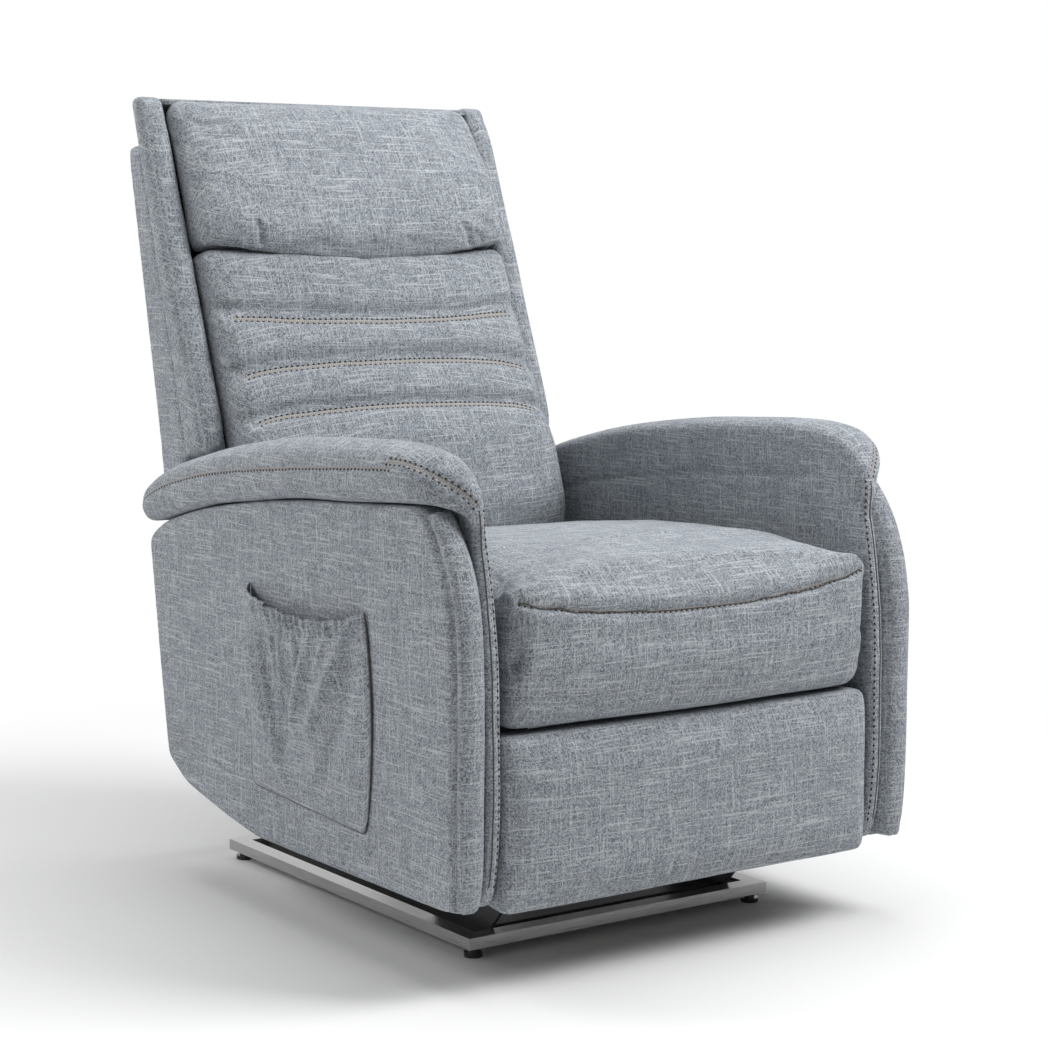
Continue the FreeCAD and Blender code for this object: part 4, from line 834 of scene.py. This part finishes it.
def make_pillow():
    """The headrest pillow, with pleats at its lower edge and creases at its corners."""
    item = cushion("headrest_pillow_cloth", pillow_profile, BACK_HALF, 0.018, 0.9, 3)
    creases = (((-0.183, 0.266), (-0.181, 0.288), (-0.184, 0.310), 0.0060, 0.0050),
               ((0.190, 0.266), (0.186, 0.287), (0.174, 0.308), 0.0065, 0.0055),
               ((-0.205, 0.268), (-0.200, 0.282), (-0.190, 0.292), 0.0022, 0.006),
               ((0.215, 0.268), (0.207, 0.282), (0.196, 0.290), 0.0026, 0.006),
               ((0.245, 0.300), (0.215, 0.318), (0.175, 0.330), 0.0020, 0.008),
               ((-0.250, 0.492), (-0.222, 0.486), (-0.190, 0.494), 0.0040, 0.006),
               ((-0.246, 0.470), (-0.215, 0.459), (-0.180, 0.463), 0.0028, 0.007),
               ((-0.235, 0.415), (-0.205, 0.414), (-0.170, 0.424), 0.0022, 0.008),
               ((0.248, 0.480), (0.222, 0.468), (0.195, 0.450), 0.0024, 0.008))
    for first, second, third, depth, width in creases:
        x, rise = np.array([first, second, third]).T
        sunk(item, smooth_path(at_x(x, on_back(rise, 0.07)), 40), depth, width)
    wrinkle(item, 0.0022, 3)
    cloth_map(item, tilt=-BACK_TILT)
    dressed(item, "backrest", "headrest_pillow")
    for side, name in SIDES:
        edge = at_x(side * 0.249, on_back(np.linspace(0.32, 0.495, 60), 0.05))
        sewn(f"pillow_seam_{name}", item, edge, "backrest", rows=(0.0,), band=None, hole_shades=False)


def leg_profile(share):
    """Leg rest pad outline at a share of the half width."""
    rear, front, bottom, top = -0.4286, -0.483, 0.0945, 0.3128
    puff = 0.009 * (1 - share ** 4)
    return [(front + 0.003, bottom, 0.014), (front - puff, bottom + 0.045, 0.06),
            (front - puff, top - 0.040, 0.06), (front + 0.003, top, 0.016),
            (rear, top - 0.002, 0.006), (rear, bottom + 0.006, 0.006)]


def make_leg_pad():
    """The padded front panel on the leg rest board."""
    item = cushion("leg_rest_pad_cloth", leg_profile, 0.2905, 0.013, 0.9, 1, 2.0, (0, 0, 1))
    wrinkle(item, 0.0012, 11)
    points = vertices(item)
    points[:, 1] = np.minimum(points[:, 1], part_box("leg_rest_board")[0].y - 0.0004)
    set_vertices(item, points)
    cloth_map(item)
    dressed(item, "leg_rest", "leg_rest_pad")


# ------------------------------------------------------------------ arms

STRIP_FRONT = ((-0.466, 0.106), (-0.478, 0.150), (-0.484, 0.219), (-0.484, 0.300),
               (-0.482, 0.389), (-0.475, 0.450), (-0.467, 0.505), (-0.456, 0.553),
               (-0.442, 0.590), (-0.420, 0.620), (-0.385, 0.630))
PANEL_FRONT = ((-0.479, 0.108), (-0.4865, 0.160), (-0.489, 0.270), (-0.489, 0.400),
               (-0.486, 0.445), (-0.478, 0.487), (-0.463, 0.526), (-0.443, 0.558),
               (-0.424, 0.580))
ARM_TOP = ((-0.395, 0.585), (-0.100, 0.567), (0.100, 0.543), (0.250, 0.511), (0.309, 0.482))
ARM_REAR = ((0.309, 0.482), (0.262, 0.172), (0.208, 0.141), (0.090, 0.118), (0.005, 0.1055),
            (-0.100, 0.105), (-0.300, 0.105), (-0.465, 0.105))


def arm_side(front, trim=0.0):
    """The closed outline of an arm's side in Y and Z, its front moved back by a trim."""
    front = smooth_path(front, 90)
    front[:, 0] += trim
    top = smooth_path(ARM_TOP, 70)
    rear = [between(np.array(a), np.array(b), t) for a, b in zip(ARM_REAR, ARM_REAR[1:])
            for t in np.linspace(0, 1, 12)[:-1]]
    loop = evenly(np.vstack([front, top, rear]), 420, closed=True)
    for _ in range(6):
        loop = (np.roll(loop, 1, 0) + 2 * loop + np.roll(loop, -1, 0)) / 4
    return loop


def pad_sections(side):
    """Cross sections of an arm pad in planes of constant Y, from front to rear.

    Height, underside and the narrowing of both sides follow smooth curves through stations.
    """
    inner, outer = 0.2868, 0.3750
    stations = np.array([
        (-0.4610, 0.576, 0.545, 0.0560, 0.016), (-0.4570, 0.595, 0.556, 0.0520, 0.013),
        (-0.4480, 0.615, 0.572, 0.0420, 0.011), (-0.4320, 0.633, 0.582, 0.0240, 0.009),
        (-0.4120, 0.646, 0.586, 0.0100, 0.008), (-0.3850, 0.655, 0.586, 0.0020, 0.007),
        (-0.3300, 0.660, 0.583, 0.0000, 0.005), (-0.2200, 0.657, 0.576, 0.0000, 0.005),
        (-0.1000, 0.650, 0.569, 0.0000, 0.005), (0.0000, 0.640, 0.557, 0.0000, 0.005),
        (0.1000, 0.625, 0.545, 0.0000, 0.005), (0.1800, 0.608, 0.529, 0.0000, 0.005),
        (0.2500, 0.590, 0.513, 0.0000, 0.005), (0.2950, 0.572, 0.504, 0.0030, 0.006),
        (0.3180, 0.558, 0.505, 0.0090, 0.008), (0.3300, 0.544, 0.516, 0.0180, 0.018)])
    rows = smooth_path(stations, 170)
    sections = []
    for y, high, low, narrow, slim in rows:
        deep = high - low
        soft = min(0.034, deep * 0.47)
        corners = [(inner + max(slim, 0.0066), low, 0.006),
                   (outer - narrow - 0.010, low, soft * 0.5),
                   (outer - narrow, low + deep * 0.35, soft * 0.7),
                   (outer - narrow - 0.003, high - 0.020, soft * 0.8),
                   (between(inner + slim, outer - narrow, 0.5), high, 0.09),
                   (inner + slim, high - 0.012, soft * 0.95),
                   (inner + slim, low + deep * 0.5, soft * 0.6)]
        loop = rounded_loop(corners)
        sections.append(points_of(side * loop[:, 0], y, loop[:, 1]))
    return sections


def joined(first, second):
    """Adds the second mesh to the first object."""
    with bpy.context.temp_override(active_object=first, object=first,
                                   selected_objects=[first, second],
                                   selected_editable_objects=[first, second]):
        bpy.ops.object.join()


def make_arm(side, name):
    """One arm: cloth that flows from the pad over the front and down the inner board."""
    loop = arm_side(STRIP_FRONT)
    edge, inner, outer = 0.009, 0.2934, 0.3150
    layers = []
    for share in np.linspace(0, 1, 25):
        x = between(inner, outer, share)
        depth = rounding(edge, edge - (x - inner)) + rounding(0.004, 0.004 - (outer - x))
        layers.append(at_x(side * x, inset(loop, depth)))
    arm = lofted(f"arm_{name}_cloth", layers)
    joined(arm, lofted(f"arm_pad_{name}_skin", pad_sections(side)))
    remeshed(arm, 0.0042, 5)
    wrinkle(arm, 0.0008, 21)
    line = smooth_path(((0.331, 0.530), (0.300, 0.543), (0.197, 0.572), (0.092, 0.590),
                        (-0.070, 0.607), (-0.248, 0.622), (-0.358, 0.630)), 130)
    seam, _ = onto(arm, at_x(side * 0.390, line))
    front = smooth_path(((0.362, -0.350, 0.632), (0.358, -0.395, 0.629), (0.346, -0.432, 0.621),
                         (0.330, -0.455, 0.608), (0.315, -0.465, 0.590)), 60)
    front, _ = onto(arm, front * (side, 1, 1))
    press(arm, np.vstack([seam, front]), 0.0026, 0.0050)
    strip = smooth_path(((0.312, -0.470, 0.588), (0.3115, -0.478, 0.545), (0.3115, -0.486, 0.46),
                         (0.3115, -0.495, 0.30), (0.3115, -0.490, 0.13)), 110)
    strip, _ = onto(arm, strip * (side, 1, 1))
    cloth_map(arm)
    dressed(arm, "chair", f"arm_board_{name}", f"arm_pad_{name}")
    sewn(f"arm_{name}_pad_seam", arm, seam[::-side], "chair", rows=(-0.35,), band=(-0.1, 0.6))
    sewn(f"arm_{name}_front_seam", arm, front, "chair")
    # Dark cord where the front strip meets the outer panel: painted shade of that seam.
    seam_shade_line(f"arm_{name}_strip_shade_line", arm, strip + [-side * 0.001, 0, 0], "chair")
    sewn(f"arm_{name}_strip_seam", arm, strip + [-side * 0.0095, 0, 0], "chair", rows=(0.0,),
         band=None)


def side_roll(name, side, x, middle, inwards, wide, deep, swell):
    """A padded roll along a line in Y and Z: oval rings, wide in X and deep along inwards."""
    turn = np.linspace(0, 2 * math.pi, 28, endpoint=False)
    out = inwards[:, :, None] * (swell * deep * np.sin(turn))[:, None]
    rings = np.stack([side * (x + swell * wide * np.cos(turn)),
                      middle[:, :1] + out[:, 0], middle[:, 1:] + out[:, 1]], -1)
    return lofted(name, rings, 4)


def make_panel(side, name):
    """The outer panel: flat cloth face behind a padded roll that runs down its front."""
    loop = arm_side(PANEL_FRONT, 0.010)
    inner, outer, edge = 0.3154, 0.3610, 0.010
    layers = []
    for x in np.concatenate([[inner, inner + 0.004], outer - edge + edge
                             * np.sin(np.linspace(0, math.pi / 2, 9))]):
        layers.append(at_x(side * x, inset(loop, rounding(edge, x - (outer - edge)))))
    item = lofted(f"arm_panel_{name}_skin", layers, 16)
    path = smooth_path(PANEL_FRONT, 140)
    along = np.gradient(path, axis=0)
    along /= np.linalg.norm(along, axis=1, keepdims=True)
    inwards = np.column_stack([along[:, 1], -along[:, 0]])
    deep = 0.0165
    joined(item, side_roll(f"arm_roll_{name}_skin", side, 0.3388, path + inwards * (deep - 0.003),
                           inwards, 0.0232, deep, np.ones((140, 1))))
    remeshed(item, 0.0040, 2)
    crease = smooth_path(((-0.400, 0.590), (-0.424, 0.572), (-0.439, 0.549), (-0.453, 0.523),
                          (-0.466, 0.494), (-0.477, 0.448), (-0.481, 0.368), (-0.480, 0.250),
                          (-0.479, 0.118)), 140)
    press(item, at_x(side * 0.3615, crease), 0.0075, 0.0062)
    press(item, at_x(side * 0.3150, path + [0.001, 0]), 0.0040, 0.0070)
    wrinkle(item, 0.0008, 31)
    cloth_map(item)
    item.name = f"arm_panel_{name}_cloth"
    dressed(item, "chair", f"arm_panel_{name}")


# ------------------------------------------------------------------ side pocket

RIDGES = (
    (((0.96, 0.0), (0.84, 0.24), (0.765, 0.57), (0.72, 0.82), (0.63, 0.93)), 0.0085, 0.0095),
    (((0.40, 0.10), (0.52, 0.38), (0.60, 0.58)), 0.0090, 0.0105),
    (((0.10, 0.06), (0.265, 0.30), (0.46, 0.58)), 0.0095, 0.0110),
    (((0.99, 0.10), (0.96, 0.38), (0.84, 0.66)), 0.0050, 0.0080),
    (((0.76, 0.0), (0.72, 0.18), (0.71, 0.34)), 0.0052, 0.0058),
    (((0.63, 0.06), (0.645, 0.18), (0.67, 0.36)), 0.0048, 0.0062),
    (((0.53, 0.08), (0.545, 0.20), (0.58, 0.34)), 0.0044, 0.0056),
    (((0.26, 0.05), (0.30, 0.14), (0.36, 0.26)), 0.0044, 0.0056),
    (((0.07, 0.15), (0.19, 0.47), (0.28, 0.62), (0.40, 0.92)), -0.0070, 0.0150),
    (((0.90, 0.12), (0.88, 0.40), (0.78, 0.70)), -0.0050, 0.0100),
    (((0.50, 0.16), (0.62, 0.42), (0.66, 0.70)), -0.0060, 0.0120))


def make_pocket():
    """A gathered cloth pocket on the left panel, with a hem and folds under it.

    Across is the share from front to rear, down the share from mouth to foot. It stands off the
    panel by a depth that falls to nothing at its sewn edges. Each fold adds its height times e
    to the minus square of the distance from its line over its width, and the hem's gathers are
    sine waves across that fade with the distance down.
    """
    face = -0.3616
    across, down = np.meshgrid(np.linspace(0, 1, 221), np.linspace(0, 1, 181))
    bow = np.sin(down * math.pi)
    front = -0.286 - 0.013 * bow ** 0.8 - 0.004 * down * down * (3 - 2 * down)
    rear = 0.006 - 0.003 * down
    mouth = 0.4445 + 0.003 * across - 0.0225 * np.clip(1 - (2 * across - 1) ** 2, 0, 1) ** 0.75
    mouth += 0.0012 * np.sin(across * 40)
    foot = 0.168 + 0.014 * across
    corner = 0.024
    reach = 1 - corner / 0.29
    edge = np.clip((np.abs(2 * across - 1) - reach) / (1 - reach), 0, 1)
    foot = foot + corner * (1 - np.sqrt(1 - edge ** 2))
    z = mouth + (foot - mouth) * down
    y = front + (rear - front) * across
    drop = mouth - z
    rim = np.clip(1 - np.abs(2 * across - 1) ** 5, 0, 1) ** 0.6
    base = np.clip((1 - down) / 0.12, 0, 1)
    swell = np.sqrt(1 - (1 - base) ** 2) * (0.35 + 0.65 * (1 - down) ** 0.8)
    stand = 0.0135 * rim * swell
    flat_map = (np.stack([across, down], -1) * POCKET_CLOTH).reshape(-1, 2)
    folds = np.zeros(len(flat_map))
    for line, height, width in RIDGES:
        line = smooth_path(line * POCKET_CLOTH, 60)
        gap, which = away(flat_map, line)
        taper = np.sin(np.linspace(0.12, 1, 60) * math.pi * 0.92) ** 0.6
        folds += height * taper[which] * bump(gap, 0, width)
    folds = folds.reshape(across.shape)
    gathers = (0.0026 * np.sin(across * 2 * math.pi * 17 + 1.8 * np.sin(across * 11))
               * bump(drop, 0, 0.026))
    hem = 0.0014 * bump(drop, 0.006, 0.008) - 0.0016 * bump(drop, 0.019, 0.004)
    lift = (folds + gathers * rim ** 3 + hem) * rim * np.sqrt(base)
    x = face - 0.0016 - np.maximum(stand + lift * 1.15, 0.0)
    grid = np.stack([x, y, z], -1)
    item = mesh_from("side_pocket_cloth", grid.reshape(-1, 3), grid_faces(181, 221))
    thick = item.modifiers.new("Cloth", "SOLIDIFY")
    thick.thickness = 0.0014
    thick.offset = 0
    point_map(item, flat_map + [0.7, 0.3])
    dressed(item, "chair", "side_pocket")
    border = evenly(np.vstack([grid[:, 0], grid[-1], grid[::-1, -1]]), 260)
    # A dark cord round the pocket's sewn edge: painted shade where the pocket meets the panel.
    edge_shade_cord = cord_mesh("side_pocket_edge_shade", border - np.array([0.0002, 0, 0]), 0.0012)
    dressed(edge_shade_cord, "chair", finish="Seam shade cord")


def cord_mesh(name, line, radius, around=8):
    """A round cord along a line, with closed ends."""
    along = np.gradient(line, axis=0)
    along /= np.linalg.norm(along, axis=1, keepdims=True)
    side = np.cross(along, [1.0, 0.0, 0.0])
    side /= np.maximum(np.linalg.norm(side, axis=1, keepdims=True), 1e-9)
    up = np.cross(along, side)
    turn = np.linspace(0, 2 * math.pi, around, endpoint=False)[None, :, None]
    return tube_mesh(name, line[:, None] + radius * (np.cos(turn) * side[:, None]
                                                     + np.sin(turn) * up[:, None]))


# ------------------------------------------------------------------ back shell

def make_wing(side, name):
    """A padded side wing of the back: a roll down its front and a flatter side behind it."""
    low, high = 0.600, 1.106
    tilt = math.tan(BACK_TILT)
    front_low = 0.241 + (low - 0.613) * tilt
    front_high = 0.241 + (high - 0.613) * tilt
    outline = [(front_low + 0.010, low - 0.002, 0.010), (front_low + 0.0720, low - 0.013, 0.004),
               (front_high + 0.0437, high, 0.032), (front_high + 0.010, high - 0.001, 0.022)]
    loop = rounded_loop(outline, 10, 24)
    inner, outer, edge = 0.2632, 0.3020, 0.011
    layers = []
    for x in np.concatenate([np.linspace(inner, inner + edge, 8),
                             np.linspace(outer - edge, outer, 12)]):
        past = (inner + edge * 0.4 - x) / 0.4 if x < inner + edge else x - (outer - edge)
        layers.append(at_x(side * x, inset(loop, rounding(edge, past))))
    item = lofted(f"wing_{name}_skin", layers)
    ends = np.array([[front_low + 0.001, low + 0.006], [front_high - 0.002, high - 0.010]])
    path = ends[0] + (ends[1] - ends[0]) * np.linspace(0, 1, 120)[:, None]
    inwards = np.tile([math.cos(BACK_TILT), -math.sin(BACK_TILT)], (120, 1))
    deep = 0.0135
    swell = np.sqrt(np.clip(1 - np.linspace(-1, 1, 120) ** 14, 0.05, 1))[:, None]
    joined(item, side_roll(f"wing_roll_{name}_skin", side, 0.2828, path + inwards * deep,
                           inwards, 0.0196, deep, swell))
    remeshed(item, 0.0038, 2)
    crease = smooth_path(((0.436, 1.096), (0.429, 1.076), (0.396, 0.987), (0.355, 0.867),
                          (0.315, 0.768), (0.252, 0.592)), 140)
    press(item, at_x(side * 0.3030, crease), 0.0058, 0.0065)
    wrinkle(item, 0.0010, 41)
    cloth_map(item, tilt=-BACK_TILT)
    item.name = f"wing_{name}_cloth"
    dressed(item, "backrest", f"wing_{name}")


def make_cover():
    """The back's hollow outer shell, the skirt under it, and a top between the wings."""
    slope, tilt = math.tan(math.radians(11.9)), math.tan(BACK_TILT)
    low, high, half, wall, skirt = 0.587, 1.036, 0.2985, 0.010, 0.300

    def rear_at(z):
        """Y of the rear wall's outer face."""
        return 0.387 + (z - 0.565) * slope

    def seam_at(z):
        """Y where a wing ends and the cover's side starts."""
        deep = between(0.076, 0.044, (z - 0.600) / 0.506)
        return 0.241 + (z - 0.613) * tilt + deep - 0.0040

    layers = []
    edge = 0.010
    for share in np.sin(np.linspace(-1, 1, 61) * math.pi / 2):
        puff = 0.007 * (1 - share ** 4)
        outline = [(seam_at(low), low, 0.004), (rear_at(low) + puff * 0.6, low, 0.003),
                   (rear_at(high - 0.03) + puff, high - 0.03, 0.03),
                   (rear_at(high) - 0.004 + puff * 0.5, high, 0.012),
                   (seam_at(high - 0.002), high - 0.002, 0.003)]
        loop = rounded_loop(outline, 8, 20)
        depth = min(0.0045, rounding(edge, abs(share) * half - (half - edge)))
        layers.append(at_x(share * half, inset(loop, depth)))
    item = lofted("rear_cover_skin", layers, 3)
    under = low + 0.006
    layers = []
    for share in np.linspace(-1, 1, 41):
        puff = 0.007 * (1 - share ** 4)
        panel = [(rear_at(under) - wall, under, 0.002), (rear_at(skirt) - wall, skirt, 0.002),
                 (rear_at(skirt) + puff * 0.5, skirt, 0.004),
                 (rear_at(under) + puff * 0.6 - 0.0004, under, 0.002)]
        layers.append(at_x(share * (half - 0.0002), rounded_loop(panel, 6, 16)))
    joined(item, lofted("rear_skirt_skin", layers, 3))
    for side, name in SIDES:
        plate = rounded_loop([(seam_at(low) + 0.010, under, 0.002),
                              (rear_at(under) - 0.004, under, 0.002),
                              (rear_at(0.450) - 0.004, 0.450, 0.002),
                              (rear_at(0.450) - 0.022, 0.450, 0.006)], 6, 10)
        layers = [at_x(side * x, plate) for x in np.linspace(half - 0.013, half - 0.0002, 4)]
        joined(item, lofted(f"rear_return_{name}_skin", layers, 3))
    remeshed(item, 0.005, 1)
    hollow = [(seam_at(low + wall) - 0.06, low + wall, 0.001),
              (rear_at(low + wall) - wall, low + wall, 0.004),
              (rear_at(high - wall) - wall, high - wall, 0.004),
              (seam_at(high - wall) - 0.06, high - wall, 0.001)]
    inner = rounded_loop(hollow, 6, 6)
    core = lofted("rear_cover_core", [at_x(wall - half, inner), at_x(half - wall, inner)], 2)
    worked(item, "Hollow", "BOOLEAN", object=core, solver="EXACT")
    bpy.data.objects.remove(core)
    crest = 1.1035
    cap = [(rear_at(high) - 0.022, high - 0.012, 0.002),
           (rear_at(high) - 0.010, high - 0.012, 0.002),
           (0.4700, crest - 0.022, 0.03), (0.4600, crest, 0.016), (0.4330, crest - 0.001, 0.004),
           (0.4330, crest - 0.009, 0.002), (0.4520, crest - 0.012, 0.008),
           (0.4580, crest - 0.024, 0.02)]
    layers = [at_x(share * BACK_HALF, rounded_loop(cap, 8, 8)) for share in np.linspace(-1, 1, 41)]
    joined(item, lofted("rear_cap_skin", layers, 3))
    cloth_map(item)
    item.name = "rear_cover_cloth"
    dressed(item, "backrest", "rear_cover")


# ------------------------------------------------------------------ operators

class RECLINER_OT_materials(bpy.types.Operator):
    """Makes the finishes and gives the frame's own pieces theirs"""

    bl_idname = "recliner.materials"
    bl_label = "Finishes"

    def execute(self, context):
        """Procedural finishes for cloth, thread, steel, plastic, rubber, straps and board."""
        colours = context.scene.recliner_colours
        plain("Thread", tuple(colours.thread), 0.7)
        # The needle hole colour goes on small dark marks: painted shade of the holes.
        plain("Needle hole shade", tuple(colours.hole), 0.9)
        tape(times(colours.thread, 1.05))
        # A dark cord colour, the thread at about a fifth: painted shade for seam grooves and the
        # pocket's sewn edge.
        plain("Seam shade cord", times(colours.thread, 0.22), 0.9)
        steel = tuple(colours.steel)
        slots = {
            "base_steel": brushed("Base steel Y", steel, 0.30, 1),
            "mechanism_steel": plain("Mechanism steel", tuple(colours.black), 0.42, 0.0, 0.3),
            "pin_steel": plain("Pin steel", (0.34, 0.34, 0.35), 0.32, 1.0),
            "rod_steel": plain("Rod steel", (0.72, 0.72, 0.73), 0.16, 1.0),
            "tube_aluminium": plain("Tube aluminium", (0.58, 0.59, 0.60), 0.34, 1.0),
            "motor_housing": plain("Motor housing", (0.035, 0.036, 0.040), 0.5, 0.0, 0.25),
            "inlet_plastic": plain("Inlet plastic", (0.02, 0.02, 0.022), 0.4),
            "foot_rubber": plain("Foot rubber", (0.012, 0.012, 0.013), 0.22),
            "webbing_strap": grained("Webbing", (0.10, 0.10, 0.11), 0.6, (900, 140, 900), 2.0,
                                     0.5, (0.5, 0.0006), 0.85),
            "board_wood": grained("Plywood", (0.46, 0.31, 0.17), 0.62, (6, 160, 160), 5.0, 0.65,
                                  (0.3, 0.0005), 0.62),
            "upholstery": linen(),
        }
        named = {row["node"]: row["material_slot"] for row in frame["record"]["subparts"]}
        for name, item in frame["nodes"].items():
            item.data.materials.clear()
            item.data.materials.append(slots[named[name]])
        for name in ("base_rail_front", "base_rail_rear"):
            frame["nodes"][name].data.materials[0] = brushed("Base steel X", steel, 0.30, 0)
        return {"FINISHED"}


class RECLINER_OT_seat(bpy.types.Operator):
    """Builds the seat cushion and its front seam"""

    bl_idname = "recliner.seat"
    bl_label = "Seat cushion"

    def execute(self, context):
        """One padded piece and its stitches."""
        make_seat()
        return {"FINISHED"}


class RECLINER_OT_back(bpy.types.Operator):
    """Builds the back cushion with its three seams, and the headrest pillow"""

    bl_idname = "recliner.back"
    bl_label = "Back cushion and headrest"

    def execute(self, context):
        """Two padded pieces and their stitches."""
        make_back()
        make_pillow()
        return {"FINISHED"}


class RECLINER_OT_leg_pad(bpy.types.Operator):
    """Builds the padded panel of the leg rest"""

    bl_idname = "recliner.leg_pad"
    bl_label = "Leg rest pad"

    def execute(self, context):
        """One padded piece."""
        make_leg_pad()
        return {"FINISHED"}


class RECLINER_OT_arms(bpy.types.Operator):
    """Builds both arms: pad, inner board and outer panel"""

    bl_idname = "recliner.arms"
    bl_label = "Arms"

    def execute(self, context):
        """Two padded pieces and their stitches for each arm."""
        for side, name in SIDES:
            make_arm(side, name)
            make_panel(side, name)
        return {"FINISHED"}


class RECLINER_OT_pocket(bpy.types.Operator):
    """Builds the gathered pocket on the left arm"""

    bl_idname = "recliner.pocket"
    bl_label = "Side pocket"

    def execute(self, context):
        """One cloth sheet with its sewn edge and lip."""
        make_pocket()
        return {"FINISHED"}


class RECLINER_OT_shell(bpy.types.Operator):
    """Builds the back's side wings and its rear cover"""

    bl_idname = "recliner.shell"
    bl_label = "Back shell"

    def execute(self, context):
        """Two padded wings and a hollow cover."""
        for side, name in SIDES:
            make_wing(side, name)
        make_cover()
        return {"FINISHED"}


class RECLINER_OT_stage(bpy.types.Operator):
    """Builds the floor, the soft lights, the white background and the camera"""

    bl_idname = "recliner.stage"
    bl_label = "Stage"

    def execute(self, context):
        """Everything round the chair that isn't part of it."""
        make_floor()
        make_lights()
        make_world()
        make_camera()
        context.scene.view_settings.view_transform = "Standard"
        return {"FINISHED"}


# ------------------------------------------------------------------ stage

def make_floor():
    """A wide pale floor that keeps the chair's shadow and fades to the background's white."""
    half, level = 60.0, -0.0005
    floor = mesh_from("floor", [(x, y, level) for x, y in
                                ((-half, -half), (half, -half), (half, half), (-half, half))],
                      [(0, 1, 2, 3)])
    nodes = Nodes("Floor")
    far = nodes.add("ShaderNodeVectorMath", {0: nodes.place()}, operation="LENGTH")
    share = nodes.math("MULTIPLY", nodes.seen(), nodes.step(far.outputs["Value"], 0.95, 1.6))
    nodes.blend(share, nodes.shader, nodes.add("ShaderNodeEmission"))
    colour = tuple(bpy.context.scene.recliner_colours.floor)
    floor.data.materials.append(nodes.shade(Base_Color=colour, Roughness=0.8, Metallic=0.0))


def placed(item, place, ahead):
    """Puts a lamp or camera at a place, looking ahead."""
    bpy.context.scene.collection.objects.link(item)
    item.location = place
    item.rotation_euler = ahead.to_track_quat("-Z", "Y").to_euler()


def area_light(name, place, size, power):
    """A square soft light that points at the chair."""
    data = bpy.data.lights.new(name, "AREA")
    data.shape, data.size, data.energy = "SQUARE", size, power
    placed(bpy.data.objects.new(name, data), place, Vector((0, 0, 0.5)) - Vector(place))


def make_lights():
    """A large soft light from the front right, softer ones from above, the rear and the left."""
    area_light("key", (1.7, -1.8, 3.0), 1.8, 118)
    area_light("top", (0.1, 0.2, 3.5), 2.6, 62)
    area_light("rear_left", (-2.4, 2.2, 2.2), 1.6, 62)
    area_light("left", (-3.2, -0.4, 0.8), 1.6, 12)


def make_world():
    """White to the camera and in mirrors, soft pale light for everything else."""
    nodes = Nodes("Studio", "World", "ShaderNodeBackground")
    bpy.context.scene.world = nodes.shade(Color=(1, 1, 1), Strength=0.13)
    white = nodes.add("ShaderNodeBackground", {"Color": (1, 1, 1), "Strength": 1.0})
    nodes.blend(nodes.seen(), nodes.shader, white)


def make_camera():
    """The view from the front left, a little above seat height."""
    data = bpy.data.cameras.new("camera")
    data.lens, data.sensor_width = 83.47, 36.0
    data.clip_end = 200
    data.dof.use_dof = False
    item = bpy.data.objects.new("camera", data)
    yaw, pitch = math.radians(34.905), math.radians(6.5)
    placed(item, (-1.8816, -2.8026, 0.8881),
           Vector((math.sin(yaw) * math.cos(pitch), math.cos(yaw) * math.cos(pitch),
                   -math.sin(pitch))))
    bpy.context.scene.camera = item


# ------------------------------------------------------------------ add-on

OPERATORS = (RECLINER_OT_materials, RECLINER_OT_seat, RECLINER_OT_back, RECLINER_OT_leg_pad,
             RECLINER_OT_arms, RECLINER_OT_pocket, RECLINER_OT_shell, RECLINER_OT_stage)


class RECLINER_PT_panel(bpy.types.Panel):
    """Sizes, colours and steps of the chair"""

    bl_idname = "RECLINER_PT_panel"
    bl_label = "Lift recliner"
    bl_space_type = "VIEW_3D"
    bl_region_type = "UI"
    bl_category = "Recliner"

    def draw(self, context):
        """Lists the settings, then a button for each step."""
        for group in (context.scene.recliner_sizes, context.scene.recliner_colours):
            for name in group.__annotations__:
                self.layout.prop(group, name)
        for operator in OPERATORS:
            self.layout.operator(operator.bl_idname)


CLASSES = (ReclinerSizes, ReclinerColours, *OPERATORS, RECLINER_PT_panel)


def register():
    """Adds the classes and the two groups of settings."""
    for item in CLASSES:
        bpy.utils.register_class(item)
    bpy.types.Scene.recliner_sizes = PointerProperty(type=ReclinerSizes)
    bpy.types.Scene.recliner_colours = PointerProperty(type=ReclinerColours)


def unregister():
    """Takes the settings and classes away again."""
    del bpy.types.Scene.recliner_sizes
    del bpy.types.Scene.recliner_colours
    for item in reversed(CLASSES):
        bpy.utils.unregister_class(item)


def main():
    """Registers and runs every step."""
    register()
    bpy.ops.recliner.materials()
    bpy.ops.recliner.seat()
    bpy.ops.recliner.back()
    bpy.ops.recliner.leg_pad()
    bpy.ops.recliner.arms()
    bpy.ops.recliner.shell()
    bpy.ops.recliner.pocket()
    bpy.ops.recliner.stage()


if __name__ == "__main__":
    main()
